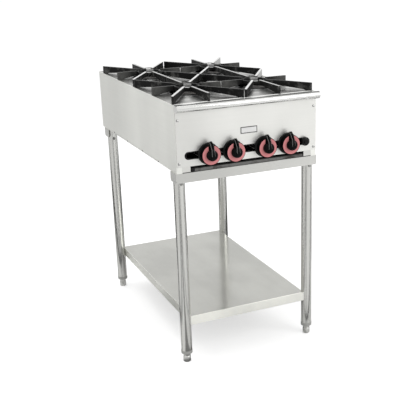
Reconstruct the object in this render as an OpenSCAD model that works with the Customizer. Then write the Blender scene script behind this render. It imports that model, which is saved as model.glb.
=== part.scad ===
// Four-burner gas stove on a tube-legged stand with an undershelf.
// +X is the stove's right as its user sees it, -Y its front, +Z up; the feet stand on Z = 0.

/* [Body] */
// Width of the body over its side panels
body_w = 510; // [480:1:560]
// Depth of the body from the front panel's back face to the rear panel's outer face
body_d = 850; // [820:1:900]
// Height of the side panels
body_h = 222; // [214:1:250]
// Thickness of the body's sheet
sheet = 1.2; // [0.8:0.1:2]
// Width of the side panels' folds behind the front and rear panels
fold_w = 20; // [16:1:26]
// Depth of the hem along the side panels' top edge
hem_h = 8; // [6:1:10]
// Depth of the deck below the front rail's lap
deck_drop = 0; // [0:0.5:4]
// Depth of the deck's folded skirt
deck_skirt = 18; // [12:1:24]

/* [Front] */
// Height of the front panel's lower edge over the bottom of the body
panel_lift = 21; // [20:1:26]
// Gap between the front panel's side edge and the body's side
panel_inset = 2; // [1:0.5:4]
// Height of the rolled front rail
nose_h = 24; // [20:1:30]
// Height of the rolled front rail over the side panels' top edge
nose_over = 3; // [1:0.5:6]
// Reach of the rolled front rail ahead of the body
nose_out = 31; // [26:1:38]
// Width of the front rail's top behind the panel
nose_lap = 6; // [4:1:10]
// Distance of the slot's ends from the body's sides
slot_in = 35; // [30:1:45]
// Height of the slot for the valve stems
slot_h = 20; // [18:1:24]
// Height of the valve stems over the bottom of the body
stem_lift = 56; // [54:1:62]
// Distance of a panel screw from the body's side
screw_in = 10; // [8:1:12]
// Height of the lower panel screws over the panel's lower edge
screw_low = 11; // [8:1:13]
// Distance of the upper panel screws below the top of the body
screw_high = 49; // [46:1:58]
// Diameter of the sheet metal screws' shanks
screw_d = 4; // [3.5:0.5:5]
// Diameter of the sheet metal screws' heads
screw_head_d = 8.4; // [7:0.2:9]

/* [Knobs] */
// Distance between the two knobs of a pair
knob_pair = 87; // [84:1:92]
// Distance between the inner knobs of the two pairs
knob_middle = 115; // [110:1:120]
// Diameter of a knob's skirt
knob_d = 67; // [60:1:70]
// Gap between the front panel and the back of a knob
knob_gap = 5; // [4:0.5:8]
// Depth of a knob's skirt
skirt_h = 24; // [20:1:28]
// Diameter of a knob's raised hub
knob_hub_d = 35; // [31:1:38]
// Height of the hub's front over the skirt
knob_hub_h = 16; // [12:1:18]
// Reach of the handle's tip from the knob's axis
handle_reach = 44; // [41:1:46]
// Width of the handle at its tip
handle_tip_w = 8; // [6:0.5:9]
// Width of the coloured ring's black rim
rim_w = 2; // [1.8:0.2:2.6]
// Width of the coloured ring's gap at the handle
ring_gap = 20; // [17:1:24]
// Thickness of the coloured ring
ring_t = 1; // [0.8:0.1:1.4]
// Diameter of a valve stem
stem_d = 8; // [7:0.5:9]

/* [Grates] */
// Width of one grate
grate_w = 248; // [236:1:250]
// Depth of one grate
grate_d = 388; // [380:1:392]
// Gap between neighbouring grates
grate_gap = 6; // [3:0.5:8]
// Distance of the front grates behind the front panel
grate_back = 20; // [14:1:24]
// Height of a grate at the feet of its arms
grate_h = 27; // [24:1:32]
// Height of an arm beside the hub
arm_h = 15; // [13:1:18]
// Thickness of an arm
arm_t = 8; // [6:0.5:9]
// Length of the flat foot under an arm's outer end
arm_foot = 20; // [14:1:28]
// Outer diameter of the ring at the grate's middle
grate_hub_d = 92; // [80:1:104]
// Wall of the ring at the grate's middle
hub_wall = 7; // [5:0.5:10]
// Height of the arms' top edges over the ring
hub_drop = 3.5; // [1:0.5:5]

/* [Burners] */
// Diameter of a deck opening
opening_d = 116; // [110:1:130]
// Height of the rim pressed round a deck opening
rim_h = 2.5; // [2:0.5:4]
// Diameter of a burner's head
head_d = 98; // [88:1:104]
// Height of a burner's head
head_h = 26; // [24:1:32]
// Depth of the burner's top below the deck's surface
head_drop = 5; // [4:1:10]
// Number of flame ports round a burner
ports = 24; // [18:1:30]
// Diameter of a flame port
port_d = 3; // [2.5:0.1:3.5]
// Outer diameter of the burner's mixing tube
tube_d = 34; // [32:1:38]
// Wall of the burner's casting
cast_t = 3.5; // [3:0.5:4.5]
// Diameter of the mixing tube's air barrel
barrel_d = 44; // [42:1:48]
// Length of the air barrel
barrel_l = 32; // [28:1:36]
// Thickness of the air shutter
shutter_t = 1.2; // [1:0.1:1.6]
// Height of the rails that carry the burners
rail_lift = 18; // [17:1:20]
// Height of a burner rail's section
burner_rail_h = 13; // [10:1:14]
// Width of a burner rail's section
burner_rail_w = 44; // [38:1:52]

/* [Gas train] */
// Outer diameter of the manifold pipe
pipe_d = 21.3; // [19:0.1:24]
// Wall of the manifold pipe
pipe_t = 2.6; // [2:0.1:3.2]
// Distance of the manifold behind the front panel
pipe_back = 30; // [28:1:36]
// Height of the manifold over the valve stems
pipe_lift = 38; // [36:1:44]
// Distance of the supply pipe from the body's side
supply_in = 23; // [22:0.5:24]
// Length of the inlet that stands out behind the body
inlet_out = 30; // [24:1:40]
// Diameter of the gas cap in the slot
cap_d = 30; // [26:1:32]
// Distance of the gas cap's axis from the end of the slot
cap_in = 11; // [10:0.5:14]

/* [Drip tray] */
// Width of the drip tray
tray_w = 408; // [390:1:410]
// Depth of the drip tray
tray_d = 780; // [740:1:790]
// Height of the drip tray
tray_h = 13; // [11:0.5:14]
// Clearance between the tray's side and its guide
tray_clear = 0.5; // [0.4:0.1:1]
// Clearance between the tray and what it slides on
slide_clear = 0.3; // [0.2:0.1:0.5]

/* [Stand] */
// Height of the stand from the floor to the body
stand_h = 684; // [620:1:740]
// Reach of the stand past each side of the body
stand_over = 3; // [1:0.5:5]
// Depth of the stand over its rails
stand_d = 817; // [784:1:824]
// Height of the front and rear rails
rail_h = 32; // [26:1:40]
// Depth of a rail
rail_d = 52; // [48:1:60]
// Thickness of the rails' sheet
rail_t = 1.5; // [1.2:0.1:2]
// Radius of the rounded lower corners of a rail's ends
rail_corner = 9; // [5:1:12]
// Diameter of a leg
leg_d = 38; // [34:1:42]
// Wall of a leg
leg_t = 1.5; // [1.2:0.1:2]
// Distance of a leg's axis from the rail's outer face
leg_in = 32; // [28:1:36]
// Length of the socket inside the top of a leg
socket_l = 70; // [50:1:90]
// Height of the undershelf over the floor
shelf_z = 169; // [130:1:240]
// Depth of the undershelf's lip
lip_h = 32; // [26:1:40]
// Depth of the leg notches in the undershelf's sides
shelf_notch = 3.8; // [3:0.2:5]
// Distance of the undershelf's front edge from the legs' axes
shelf_front = 11; // [11:1:14]
// Diameter of the stand's screws
stand_screw_d = 6; // [5:0.5:8]

/* [Feet] */
// Diameter of an adjustable foot
foot_d = 26; // [22:1:30]
// Height of a foot below its leg collar
foot_h = 33; // [28:1:40]
// Height of a leg collar
collar_h = 11; // [8:1:14]
// Reach of a leg collar past the leg's surface
collar_over = 0.8; // [0.4:0.1:1.5]
// Diameter of a foot's threaded stem
foot_stem_d = 12; // [10:1:14]

/* [Hidden] */
$fn = 72;

// Extra length of a cutting tool past the face that it opens
eps = 0.5;
// Radial clearance of a shaft that turns in its bore
run_fit = 0.05;
// Radial clearance of a sleeve that is fitted over a tube
sleeve_fit = 0.1;
// Clearance between a moving piece and its fixed neighbour
free_gap = 0.3;

// Levels
body_z = stand_h;
body_top = body_z + body_h;
deck_z = body_top - sheet - deck_drop;
stem_z = body_z + stem_lift;
pipe_z = stem_z + pipe_lift;
panel_z = body_z + panel_lift;
nose_top = body_top + nose_over;
nose_z = nose_top - nose_h;

// The body's inner faces
inner_x = body_w / 2 - sheet;
fold_y = body_d - 2 * sheet;
rear_fold_w = 8;
hem_x = inner_x - sheet;

// Knobs and the front: the origin is midway between the knobs' fronts and the gas inlet's end
knob_back_y = -sheet - knob_gap;
knob_face_y = knob_back_y - skirt_h;
knob_front_y = knob_face_y - knob_hub_h - 3;
front_reach = max(-knob_front_y, nose_out);
front_y = (front_reach - inlet_out - body_d) / 2;
stem_x = [
    -knob_middle / 2 - knob_pair,
    -knob_middle / 2,
    knob_middle / 2,
    knob_middle / 2 + knob_pair
];

// Valves, from the panel towards the burners
valve_y = 9;
valve_d = 24;
valve_l = 42;
bonnet_d = 18;
bonnet_l = 6;
stem_tip_y = knob_face_y + 4;
stem_seat_y = valve_y + 18;
stem_flat = 1.5;
hood_d = 14;
hood_l = 20;
hood_y = valve_y + valve_l;
jet_d = 2;
valve_pad_d = 16;

// Burners: the outer valve of each pair feeds the front burner, the inner one the rear burner
pitch_x = grate_w + grate_gap;
pitch_y = grate_d + grate_gap;
front_row_y = grate_back + grate_d / 2;
rear_row_y = front_row_y + pitch_y;
burner_at = [
    [-pitch_x / 2, front_row_y],
    [-pitch_x / 2, rear_row_y],
    [pitch_x / 2, rear_row_y],
    [pitch_x / 2, front_row_y]
];
head_top = deck_z - head_drop;
head_bottom = head_top - head_h;
barrel_y = hood_y + hood_l - 8;
barrel_end_y = barrel_y + barrel_l;
bulge = 1.6;
rail_top = body_z + rail_lift + burner_rail_h;
spigot_d = 8;
pad_d = 28;
window_w = 14;
window_l = 14;

// Drip tray and base
tray_z = body_z + sheet + slide_clear;
tray_top = tray_z + tray_h;
mouth_x = tray_w / 2 + 3;
ledge_w = body_w / 2 - tray_w / 2 + 7;
base_lap = 11;
upturn_h = 14;
mouth_top = panel_z - 1;
guide_w = 10;
guide_h = tray_h - 1;
rivet_d = 5;
rivet_z = body_z + 4;
rivet_first = 173;
rivet_step = 172;

// Stand
stand_w = body_w + 2 * stand_over;
leg_r = leg_d / 2;
leg_bore = leg_d - 2 * leg_t;
leg_x = stand_w / 2 - rail_t - free_gap - leg_r;
leg_front_y = leg_in;
leg_rear_y = stand_d - leg_in;
collar_z = foot_h;
leg_z = collar_z + collar_h;
leg_top = body_z - rail_t;
set_screw_z = body_z - rail_h - 6;
shelf_x = leg_x - leg_r + shelf_notch;
shelf_t = sheet;
shelf_fit = 0.3;
clamp_t = 2;
clamp_turn = 22;
clamp_h = 24;
clamp_z = shelf_z - shelf_t - clamp_h;
shelf_screw_z = clamp_z + clamp_h / 2;
screw_reach = 9;
leg_at = [
    [-leg_x, leg_front_y],
    [leg_x, leg_front_y],
    [-leg_x, leg_rear_y],
    [leg_x, leg_rear_y]
];

// Supply
supply_x = body_w / 2 - supply_in;
elbow_d = pipe_d + 6;
elbow_arm = elbow_d / 2 + 1;
slot_l = body_w - 2 * slot_in;
port_x = slot_l / 2 - cap_in;
port_pipe_d = 12;
port_elbow_d = 18;
hub_angle = atan2(grate_d, grate_w);

module from_front() {
    translate([0, front_y, 0]) children();
}

// A round bar along Y between two depths behind the front panel
module y_bar(x, z, d, from, to) {
    translate([x, from, z]) rotate([-90, 0, 0]) cylinder(d = d, h = to - from);
}

// A round bar along X
module x_bar(y, z, d, from, to) {
    translate([from, y, z]) rotate([0, 90, 0]) cylinder(d = d, h = to - from);
}

// A block between two corners
module block(a, b) {
    translate(a) cube(b - a);
}

// Stand

// Direction from a leg towards the middle of the undershelf
function inward(at) = at[0] > 0 ? 180 : 0;

module leg(at) {
    difference() {
        translate([at[0], at[1], leg_z]) cylinder(d = leg_d, h = leg_top - leg_z);
        translate([at[0], at[1], leg_z - eps]) cylinder(d = leg_bore, h = leg_top - leg_z + 2 * eps);
        y_bar(at[0], set_screw_z, stand_screw_d + 2 * run_fit, at[1] - leg_d, at[1]);
        translate([at[0], at[1], shelf_screw_z])
            rotate([0, 0, inward(at)]) rotate([0, 90, 0])
                cylinder(d = stand_screw_d + 2 * run_fit, h = leg_d);
    }
}

module leg_front_left() {
    color("silver") from_front() leg(leg_at[0]);
}

module leg_front_right() {
    color("silver") from_front() leg(leg_at[1]);
}

module leg_rear_left() {
    color("silver") from_front() leg(leg_at[2]);
}

module leg_rear_right() {
    color("silver") from_front() leg(leg_at[3]);
}

// End plate of a rail, with its lower corners rounded
module rail_end() {
    rotate([90, 0, 90]) linear_extrude(rail_t) difference() {
        square([rail_d, rail_h]);
        difference() {
            translate([-eps, -eps]) square([rail_corner + eps, rail_corner + eps]);
            translate([rail_corner, rail_corner]) circle(r = rail_corner);
        }
        difference() {
            translate([rail_d - rail_corner, -eps]) square([rail_corner + eps, rail_corner + eps]);
            translate([rail_d - rail_corner, rail_corner]) circle(r = rail_corner);
        }
    }
}

// Socket welded under the rail, which the leg is pushed over
module leg_socket(x) {
    socket_d = leg_bore - 2 * sleeve_fit;
    difference() {
        translate([x, leg_in, body_z - rail_t - socket_l]) cylinder(d = socket_d, h = socket_l + eps / 2);
        translate([x, leg_in, body_z - rail_t - socket_l - eps])
            cylinder(d = socket_d - 4, h = socket_l + eps);
        y_bar(x, set_screw_z, stand_screw_d, leg_in - leg_r, leg_in + leg_r);
    }
}

// Angle rail: outer wall, top flange, end plates and the two leg sockets
module stand_rail() {
    wall_w = stand_w - 2 * rail_t;
    block([-wall_w / 2, 0, body_z - rail_h], [wall_w / 2, rail_t, body_z]);
    block([-wall_w / 2, 0, body_z - rail_t], [wall_w / 2, rail_d, body_z]);
    translate([-stand_w / 2, 0, body_z - rail_h]) rail_end();
    translate([stand_w / 2 - rail_t, 0, body_z - rail_h]) rail_end();
    leg_socket(-leg_x);
    leg_socket(leg_x);
}

module stand_rail_front() {
    color("gainsboro") from_front() stand_rail();
}

module stand_rail_rear() {
    color("gainsboro") from_front() translate([0, stand_d, 0]) mirror([0, 1, 0]) stand_rail();
}

// Folded shelf, notched round the legs
module undershelf() {
    front = leg_front_y - shelf_front;
    rear = leg_rear_y + shelf_front;
    color("lightgray") from_front() difference() {
        block([-shelf_x, front, shelf_z - lip_h], [shelf_x, rear, shelf_z]);
        block(
            [-shelf_x + shelf_t, front + shelf_t, shelf_z - lip_h - eps],
            [shelf_x - shelf_t, rear - shelf_t, shelf_z - shelf_t]
        );
        for (at = leg_at)
            translate([at[0], at[1], shelf_z - lip_h - eps])
                cylinder(d = leg_d + 2 * shelf_fit, h = lip_h + 2 * eps);
    }
}

// Saddle under a corner of the shelf, bent round the inner side of the leg
module shelf_clamp(at) {
    inner_d = leg_d + 2 * sleeve_fit;
    translate([at[0], at[1], clamp_z]) rotate([0, 0, inward(at)]) difference() {
        union() {
            rotate([0, 0, -clamp_turn]) rotate_extrude(angle = 2 * clamp_turn)
                translate([inner_d / 2, 0]) square([clamp_t, clamp_h]);
            translate([inner_d / 2 + clamp_t - 0.4, -6, clamp_h - clamp_t]) cube([14, 12, clamp_t]);
        }
        translate([0, 0, clamp_h / 2]) rotate([0, 90, 0]) cylinder(d = stand_screw_d, h = leg_d);
    }
}

module shelf_clamps() {
    color("gray") from_front() for (at = leg_at) shelf_clamp(at);
}

// Screw along +X with its head at the origin's outer side
module stand_screw() {
    head_h = 0.6 * stand_screw_d;
    rotate([0, 90, 0]) cylinder(d = stand_screw_d, h = screw_reach);
    translate([-head_h, 0, 0]) rotate([0, 90, 0]) rotate([0, 0, 30])
        cylinder(d = 1.8 * stand_screw_d, h = head_h, $fn = 6);
}

module stand_screws() {
    color("dimgray") from_front() for (at = leg_at) {
        translate([at[0], at[1] - leg_r, set_screw_z]) rotate([0, 0, 90]) stand_screw();
        translate([at[0], at[1], shelf_screw_z]) rotate([0, 0, inward(at)])
            translate([leg_r + sleeve_fit + clamp_t, 0, 0]) rotate([0, 0, 180]) stand_screw();
    }
}

module leg_collars() {
    plug_l = 16;
    color("dimgray") from_front() for (at = leg_at) translate([at[0], at[1], collar_z]) difference() {
        union() {
            cylinder(d = leg_d + 2 * collar_over, h = collar_h);
            cylinder(d = leg_bore - 2 * sleeve_fit, h = collar_h + plug_l);
        }
        translate([0, 0, -eps]) cylinder(d = foot_stem_d + 2 * run_fit, h = collar_h + plug_l + 2 * eps);
    }
}

// Adjustable foot: base, neck, ring below the collar and threaded stem
module foot(at) {
    r = foot_d / 2;
    top = foot_h - free_gap;
    stem_top = foot_h + collar_h + 24;
    translate([at[0], at[1], 0]) rotate_extrude() polygon([
        [0, 0],
        [r - 2, 0],
        [r, 2],
        [r, top - 12],
        [r - 1.5, top - 10],
        [r - 1.5, top - 7],
        [r, top - 6],
        [r, top - 1],
        [r - 1, top],
        [foot_stem_d / 2, top],
        [foot_stem_d / 2, stem_top],
        [0, stem_top]
    ]);
}

module foot_front_left() {
    color("darkgray") from_front() foot(leg_at[0]);
}

module foot_front_right() {
    color("darkgray") from_front() foot(leg_at[1]);
}

module foot_rear_left() {
    color("darkgray") from_front() foot(leg_at[2]);
}

module foot_rear_right() {
    color("darkgray") from_front() foot(leg_at[3]);
}

// Body

// Left side panel with its front and rear folds and the hem along its top
module side_panel() {
    x = -body_w / 2;
    difference() {
        union() {
            block([x, 0, body_z], [x + sheet, body_d, body_top]);
            block([x, 0, body_z], [x + fold_w, sheet, nose_z]);
            block([x, fold_y, body_z], [x + rear_fold_w, fold_y + sheet, body_top - hem_h]);
            block([x, 0, body_top - hem_h], [x + 2 * sheet, body_d - sheet, body_top]);
        }
        for (z = [panel_z + screw_low, body_top - screw_high])
            y_bar(x + screw_in, z, screw_d, -eps, sheet + eps);
        for (y = rivet_y)
            x_bar(y, rivet_z, rivet_d - 2, x - eps, x + sheet + eps);
    }
}

rivet_y = [for (y = [rivet_first:rivet_step:body_d - 60]) y];

module side_panel_left() {
    color("lightgray") from_front() side_panel();
}

module side_panel_right() {
    color("lightgray") from_front() mirror([1, 0, 0]) side_panel();
}

// Rear panel with two rows of vents and the hole for the gas inlet
module rear_panel() {
    vent_w = 6;
    vent_h = 55;
    vents = 9;
    vent_pitch = 30;
    vent_low = 50;
    vent_gap = 20;
    lower = body_z + vent_low;
    upper = lower + vent_h + vent_gap;
    color("lightgray") from_front() difference() {
        block([-inner_x, body_d - sheet, body_z], [inner_x, body_d, body_top]);
        for (i = [0:vents - 1], z = [lower, upper])
            translate([(i - (vents - 1) / 2) * vent_pitch - vent_w / 2, body_d - sheet - eps, z])
                cube([vent_w, sheet + 2 * eps, vent_h]);
        y_bar(supply_x, pipe_z, pipe_d + 2 * shelf_fit, body_d - 2 * sheet, body_d + eps);
    }
}

// Base: the tray's ledges, rear sill, upturned flanges and the front wall with the tray's mouth
module base_frame() {
    fx = body_w / 2 - fold_w;
    in_x = body_w / 2 - ledge_w;
    color("silver") from_front() difference() {
        union() {
            for (s = [0, 1]) mirror([s, 0, 0]) {
                block([-inner_x, sheet, body_z], [-in_x, fold_y, body_z + sheet]);
                block([-inner_x, sheet, body_z], [-hem_x, fold_y, body_z + upturn_h]);
                block([-fx, 0, body_z], [-mouth_x, sheet, panel_z + base_lap]);
                block([-fx, 0, body_z], [-in_x, sheet + eps, body_z + sheet]);
            }
            block([-fx, 0, mouth_top], [fx, sheet, panel_z + base_lap]);
            block([-inner_x, tray_d + 8, body_z], [inner_x, fold_y, body_z + sheet]);
            block([-inner_x, fold_y - sheet, body_z], [inner_x, fold_y, body_z + upturn_h]);
        }
        for (s = [-1, 1], y = rivet_y)
            x_bar(y, rivet_z, rivet_d - 2, s * inner_x - 2 * sheet, s * inner_x + 2 * sheet);
    }
}

// Angle strips beside the tray, their front ends cut to a slope
module tray_guides() {
    x = tray_w / 2 + tray_clear;
    z = body_z + sheet;
    lead = 16;
    color("silver") from_front() for (s = [0, 1]) mirror([s, 0, 0]) {
        translate([x, 0, z]) rotate([90, 0, 90]) linear_extrude(sheet) polygon([
            [sheet, 0],
            [tray_d, 0],
            [tray_d, guide_h],
            [sheet + lead, guide_h],
            [sheet, 1]
        ]);
        block([x, sheet, z], [x + guide_w, tray_d, z + sheet]);
    }
}

module front_panel() {
    x = body_w / 2 - panel_inset;
    slot_r = slot_h / 2;
    color("whitesmoke") from_front() difference() {
        block([-x, -sheet, panel_z], [x, 0, nose_z + nose_h / 2]);
        y_bar(slot_l / 2 - slot_r, stem_z, slot_h, -sheet - eps, eps);
        y_bar(-slot_l / 2 + slot_r, stem_z, slot_h, -sheet - eps, eps);
        block(
            [-slot_l / 2 + slot_r, -sheet - eps, stem_z - slot_r],
            [slot_l / 2 - slot_r, eps, stem_z + slot_r]
        );
        for (s = [-1, 1], z = [panel_z + screw_low, body_top - screw_high])
            y_bar(s * (body_w / 2 - screw_in), z, screw_d, -sheet - eps, eps);
    }
}

// Pan-head screw that points along +Y, its head's underside at the origin
module pan_screw(length) {
    head_h = 2.4;
    r = screw_head_d / 2;
    rotate([-90, 0, 0]) rotate_extrude() polygon([
        [0, -head_h],
        [r - 1.6, -head_h],
        [r - 0.5, -head_h + 0.6],
        [r, -head_h + 1.6],
        [r, 0],
        [screw_d / 2, 0],
        [screw_d / 2, length - 1],
        [screw_d / 2 - 1, length],
        [0, length]
    ]);
}

module panel_screws() {
    color("silver") from_front()
        for (s = [-1, 1], z = [panel_z + screw_low, body_top - screw_high])
            translate([s * (body_w / 2 - screw_in), -sheet, z]) pan_screw(10);
}

// Rivets along the bottom of the side panels
module side_rivets() {
    r = rivet_d / 2;
    color("dimgray") from_front() for (s = [0, 1], y = rivet_y) mirror([s, 0, 0])
        translate([body_w / 2, y, rivet_z]) rotate([0, 90, 0]) rotate_extrude() polygon([
            [0, -2 * sheet - 1],
            [r - 0.5, -2 * sheet - 1],
            [r - 0.5, -2 * sheet],
            [r - 1, -2 * sheet],
            [r - 1, 0],
            [r, 0],
            [r - 0.8, 0.8],
            [0, 1]
        ]);
}

// Section of the rolled front rail: depth along X of the sketch, height along its Y
module nose_outline(inset) {
    r = nose_h / 2;
    translate([-nose_out + r, r]) circle(r = r - inset);
    translate([-nose_out + r, inset])
        square([nose_out - r - sheet, nose_h - nose_over - 2 * inset]);
}

module front_rail() {
    color("white") from_front() {
        translate([-body_w / 2, 0, nose_z]) rotate([90, 0, 90]) {
            linear_extrude(body_w) {
                difference() {
                    nose_outline(0);
                    nose_outline(sheet);
                    translate([-sheet - 1, sheet]) square([2, nose_h - nose_over - 2 * sheet]);
                }
            }
            linear_extrude(sheet) nose_outline(0);
            translate([0, 0, body_w - sheet]) linear_extrude(sheet) nose_outline(0);
        }
        block([-hem_x, -2 * sheet, body_top - sheet], [hem_x, nose_lap, body_top]);
        block([-hem_x, nose_lap - sheet, deck_z], [hem_x, nose_lap, body_top]);
    }
}

// Deck pan with its skirt and the four rimmed openings
module top_deck() {
    color("gainsboro") from_front() difference() {
        union() {
            difference() {
                block([-hem_x, sheet, deck_z - deck_skirt], [hem_x, fold_y, deck_z]);
                block(
                    [-hem_x + sheet, 2 * sheet, deck_z - deck_skirt - eps],
                    [hem_x - sheet, fold_y - sheet, deck_z - sheet]
                );
            }
            for (at = burner_at) translate([at[0], at[1], deck_z - sheet / 2]) rotate_extrude()
                polygon([
                    [opening_d / 2, 0],
                    [opening_d / 2 + 7, 0],
                    [opening_d / 2 + 5, sheet / 2 + rim_h * 0.7],
                    [opening_d / 2 + 2.5, sheet / 2 + rim_h],
                    [opening_d / 2, sheet / 2 + rim_h]
                ]);
        }
        for (at = burner_at)
            translate([at[0], at[1], deck_z - deck_skirt])
                cylinder(d = opening_d, h = deck_skirt + rim_h + eps);
    }
}

// Hat rails across the body under the two rows of burners
module burner_rails() {
    w = burner_rail_w;
    t = 2;
    ear_h = 14;
    z = body_z + rail_lift;
    color("gray") from_front() for (row = [front_row_y, rear_row_y]) difference() {
        union() {
            block([-inner_x, row - w / 2, z], [inner_x, row + w / 2, rail_top]);
            for (s = [0, 1]) mirror([s, 0, 0])
                block([-inner_x, row - w / 2, z], [-inner_x + t, row + w / 2, rail_top + ear_h]);
        }
        block([-inner_x + t, row - w / 2 + t, z - eps], [inner_x - t, row + w / 2 - t, rail_top - t]);
        for (s = [-1, 1])
            translate([s * pitch_x / 2, row, z])
                cylinder(d = spigot_d + 2 * shelf_fit, h = burner_rail_h + eps);
    }
}

// Gas train

// Manifold pipe with a flat boss under it at each valve and at the gas port
module manifold_pipe() {
    boss_z = pipe_z - pipe_d / 2 - 2;
    left = stem_x[0] - 50;
    right = supply_x - elbow_arm;
    color("dimgray") from_front() difference() {
        union() {
            x_bar(pipe_back, pipe_z, pipe_d, left, right);
            x_bar(pipe_back, pipe_z, pipe_d + 6, left - 3, left + 14);
            for (x = stem_x)
                translate([x, pipe_back, boss_z]) cylinder(d = valve_pad_d, h = pipe_d / 2);
            translate([port_x, pipe_back, boss_z]) cylinder(d = port_pipe_d, h = pipe_d / 2);
        }
        x_bar(pipe_back, pipe_z, pipe_d - 2 * pipe_t, left, right + eps);
        for (x = stem_x)
            translate([x, pipe_back, boss_z - eps]) cylinder(d = 6, h = pipe_d / 2);
        translate([port_x, pipe_back, boss_z - eps]) cylinder(d = 6, h = pipe_d / 2);
    }
}

// Hanger on the side panel: wall flange, arm behind the pipe and an eye plate round it
module manifold_bracket() {
    plate_t = 2;
    eye_t = 3;
    eye_rim = 4;
    arm_w = 18;
    flange_h = 24;
    below_pipe = 9;
    beside_valve = 30;
    arm_z = pipe_z - pipe_d / 2 - below_pipe;
    arm_from = pipe_back + pipe_d / 2 + eye_rim;
    arm_to = arm_from + arm_w;
    eye_x = stem_x[3] + beside_valve;
    difference() {
        union() {
            block([eye_x, arm_from, arm_z], [inner_x, arm_to, arm_z + plate_t]);
            block([inner_x - plate_t, arm_from, arm_z - flange_h], [inner_x, arm_to, arm_z + plate_t]);
            block(
                [eye_x, pipe_back - pipe_d / 2 - eye_rim, arm_z],
                [eye_x + eye_t, arm_to, pipe_z + pipe_d / 2 + eye_rim]
            );
        }
        x_bar(pipe_back, pipe_z, pipe_d + 2 * sleeve_fit, eye_x - eps, eye_x + eye_t + eps);
    }
}

module manifold_brackets() {
    color("gray") from_front() for (s = [0, 1]) mirror([s, 0, 0]) manifold_bracket();
}

// Two round arms that meet at a ball; directions are vectors along the axes
module elbow_body(d, arm, a, b) {
    sphere(d = d - 1);
    for (v = [a, b]) rotate([v[0], v[1], 0]) cylinder(d = d - 4, h = arm);
    for (v = [a, b]) rotate([v[0], v[1], 0]) translate([0, 0, arm - 7]) cylinder(d = d, h = 7);
}

module supply_elbow() {
    to_left = [0, -90];
    to_rear = [-90, 0];
    bore = pipe_d - 2 * pipe_t;
    color("dimgray") from_front() translate([supply_x, pipe_back, pipe_z]) difference() {
        elbow_body(elbow_d, elbow_arm, to_left, to_rear);
        sphere(d = bore + 1);
        for (v = [to_left, to_rear]) rotate([v[0], v[1], 0]) cylinder(d = bore, h = elbow_arm + eps);
    }
}

module supply_pipe() {
    from = pipe_back + elbow_arm;
    to = body_d - 18;
    color("dimgray") from_front() difference() {
        y_bar(supply_x, pipe_z, pipe_d, from, to);
        y_bar(supply_x, pipe_z, pipe_d - 2 * pipe_t, from - eps, to + eps);
    }
}

// Inlet nipple with a coupling inside the body, a hexagon and a lock nut outside
module gas_inlet() {
    from = body_d - 18;
    end = body_d + inlet_out;
    color("goldenrod") from_front() difference() {
        union() {
            y_bar(supply_x, pipe_z, pipe_d, from, end);
            y_bar(supply_x, pipe_z, pipe_d + 5, from, body_d - sheet);
            translate([supply_x, body_d, pipe_z]) rotate([-90, 0, 0])
                cylinder(d = pipe_d + 12, h = 7, $fn = 6);
        }
        y_bar(supply_x, pipe_z, pipe_d - 2 * pipe_t, from - eps, end + eps);
    }
}

// Drop from the manifold, turned forward through the end of the slot
module gas_port_elbow() {
    top = pipe_z - pipe_d / 2 - 2;
    color("dimgray") from_front() difference() {
        union() {
            translate([port_x, pipe_back, stem_z]) cylinder(d = port_pipe_d, h = top - stem_z);
            translate([port_x, pipe_back, stem_z]) sphere(d = port_elbow_d);
            y_bar(port_x, stem_z, port_pipe_d, -sheet - 4, pipe_back);
            y_bar(port_x, stem_z, port_elbow_d, pipe_back - 16, pipe_back - 9);
        }
        translate([port_x, pipe_back, stem_z]) cylinder(d = 7, h = top - stem_z + eps);
        translate([port_x, pipe_back, stem_z]) sphere(d = 8);
        y_bar(port_x, stem_z, 7, -sheet - 4 - eps, pipe_back);
    }
}

// Black cap screwed on the port ahead of the panel
module gas_port_cap() {
    r = cap_d / 2;
    bore_r = port_pipe_d / 2 + sleeve_fit;
    back = 1.5;
    color("black") from_front() translate([port_x, -sheet, stem_z])
        rotate([90, 0, 0]) rotate_extrude() polygon([
        [bore_r, back],
        [r - 2, back],
        [r, back + 2],
        [r, back + 9],
        [r - 1, back + 11],
        [r - 5, back + 13],
        [r - 7, back + 14],
        [r - 7, back + 17],
        [r - 8, back + 18],
        [0, back + 18],
        [0, 4],
        [bore_r, 4]
    ]);
}

// Bar valve: body, bonnet, pad up to the manifold and the threaded outlet
module gas_valve(x) {
    pad_z = pipe_z - pipe_d / 2 - 2;
    difference() {
        union() {
            y_bar(x, stem_z, valve_d, valve_y + bonnet_l, valve_y + valve_l - 8);
            y_bar(x, stem_z, bonnet_d, valve_y, valve_y + bonnet_l + 1);
            y_bar(x, stem_z, hood_d + 3, valve_y + valve_l - 9, hood_y);
            translate([x, pipe_back, stem_z]) cylinder(d = valve_pad_d - 2, h = pad_z - stem_z);
            translate([x, pipe_back, pad_z - 6]) cylinder(d = valve_pad_d + 2, h = 6, $fn = 6);
        }
        y_bar(x, stem_z, stem_d + 2 * run_fit, valve_y - eps, stem_seat_y);
        y_bar(x, stem_z, 6, stem_seat_y - 1, hood_y + eps);
        translate([x, pipe_back, stem_z]) cylinder(d = 6, h = pad_z - stem_z + eps);
    }
}

module gas_valves() {
    color("goldenrod") from_front() for (x = stem_x) gas_valve(x);
}

// Brass hood with its jet, screwed on the valve's outlet
module orifice_hoods() {
    color("gold") from_front() for (x = stem_x)
        translate([x, hood_y, stem_z]) rotate([-90, 0, 0]) difference() {
            union() {
                cylinder(d = hood_d + 3, h = 9, $fn = 6);
                cylinder(d = hood_d - 3, h = hood_l - 3);
                translate([0, 0, hood_l - 3]) cylinder(d1 = hood_d - 3, d2 = hood_d - 7, h = 3);
            }
            translate([0, 0, -eps]) cylinder(d = 6, h = hood_l - 4);
            cylinder(d = jet_d, h = hood_l + eps);
        }
}

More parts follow.
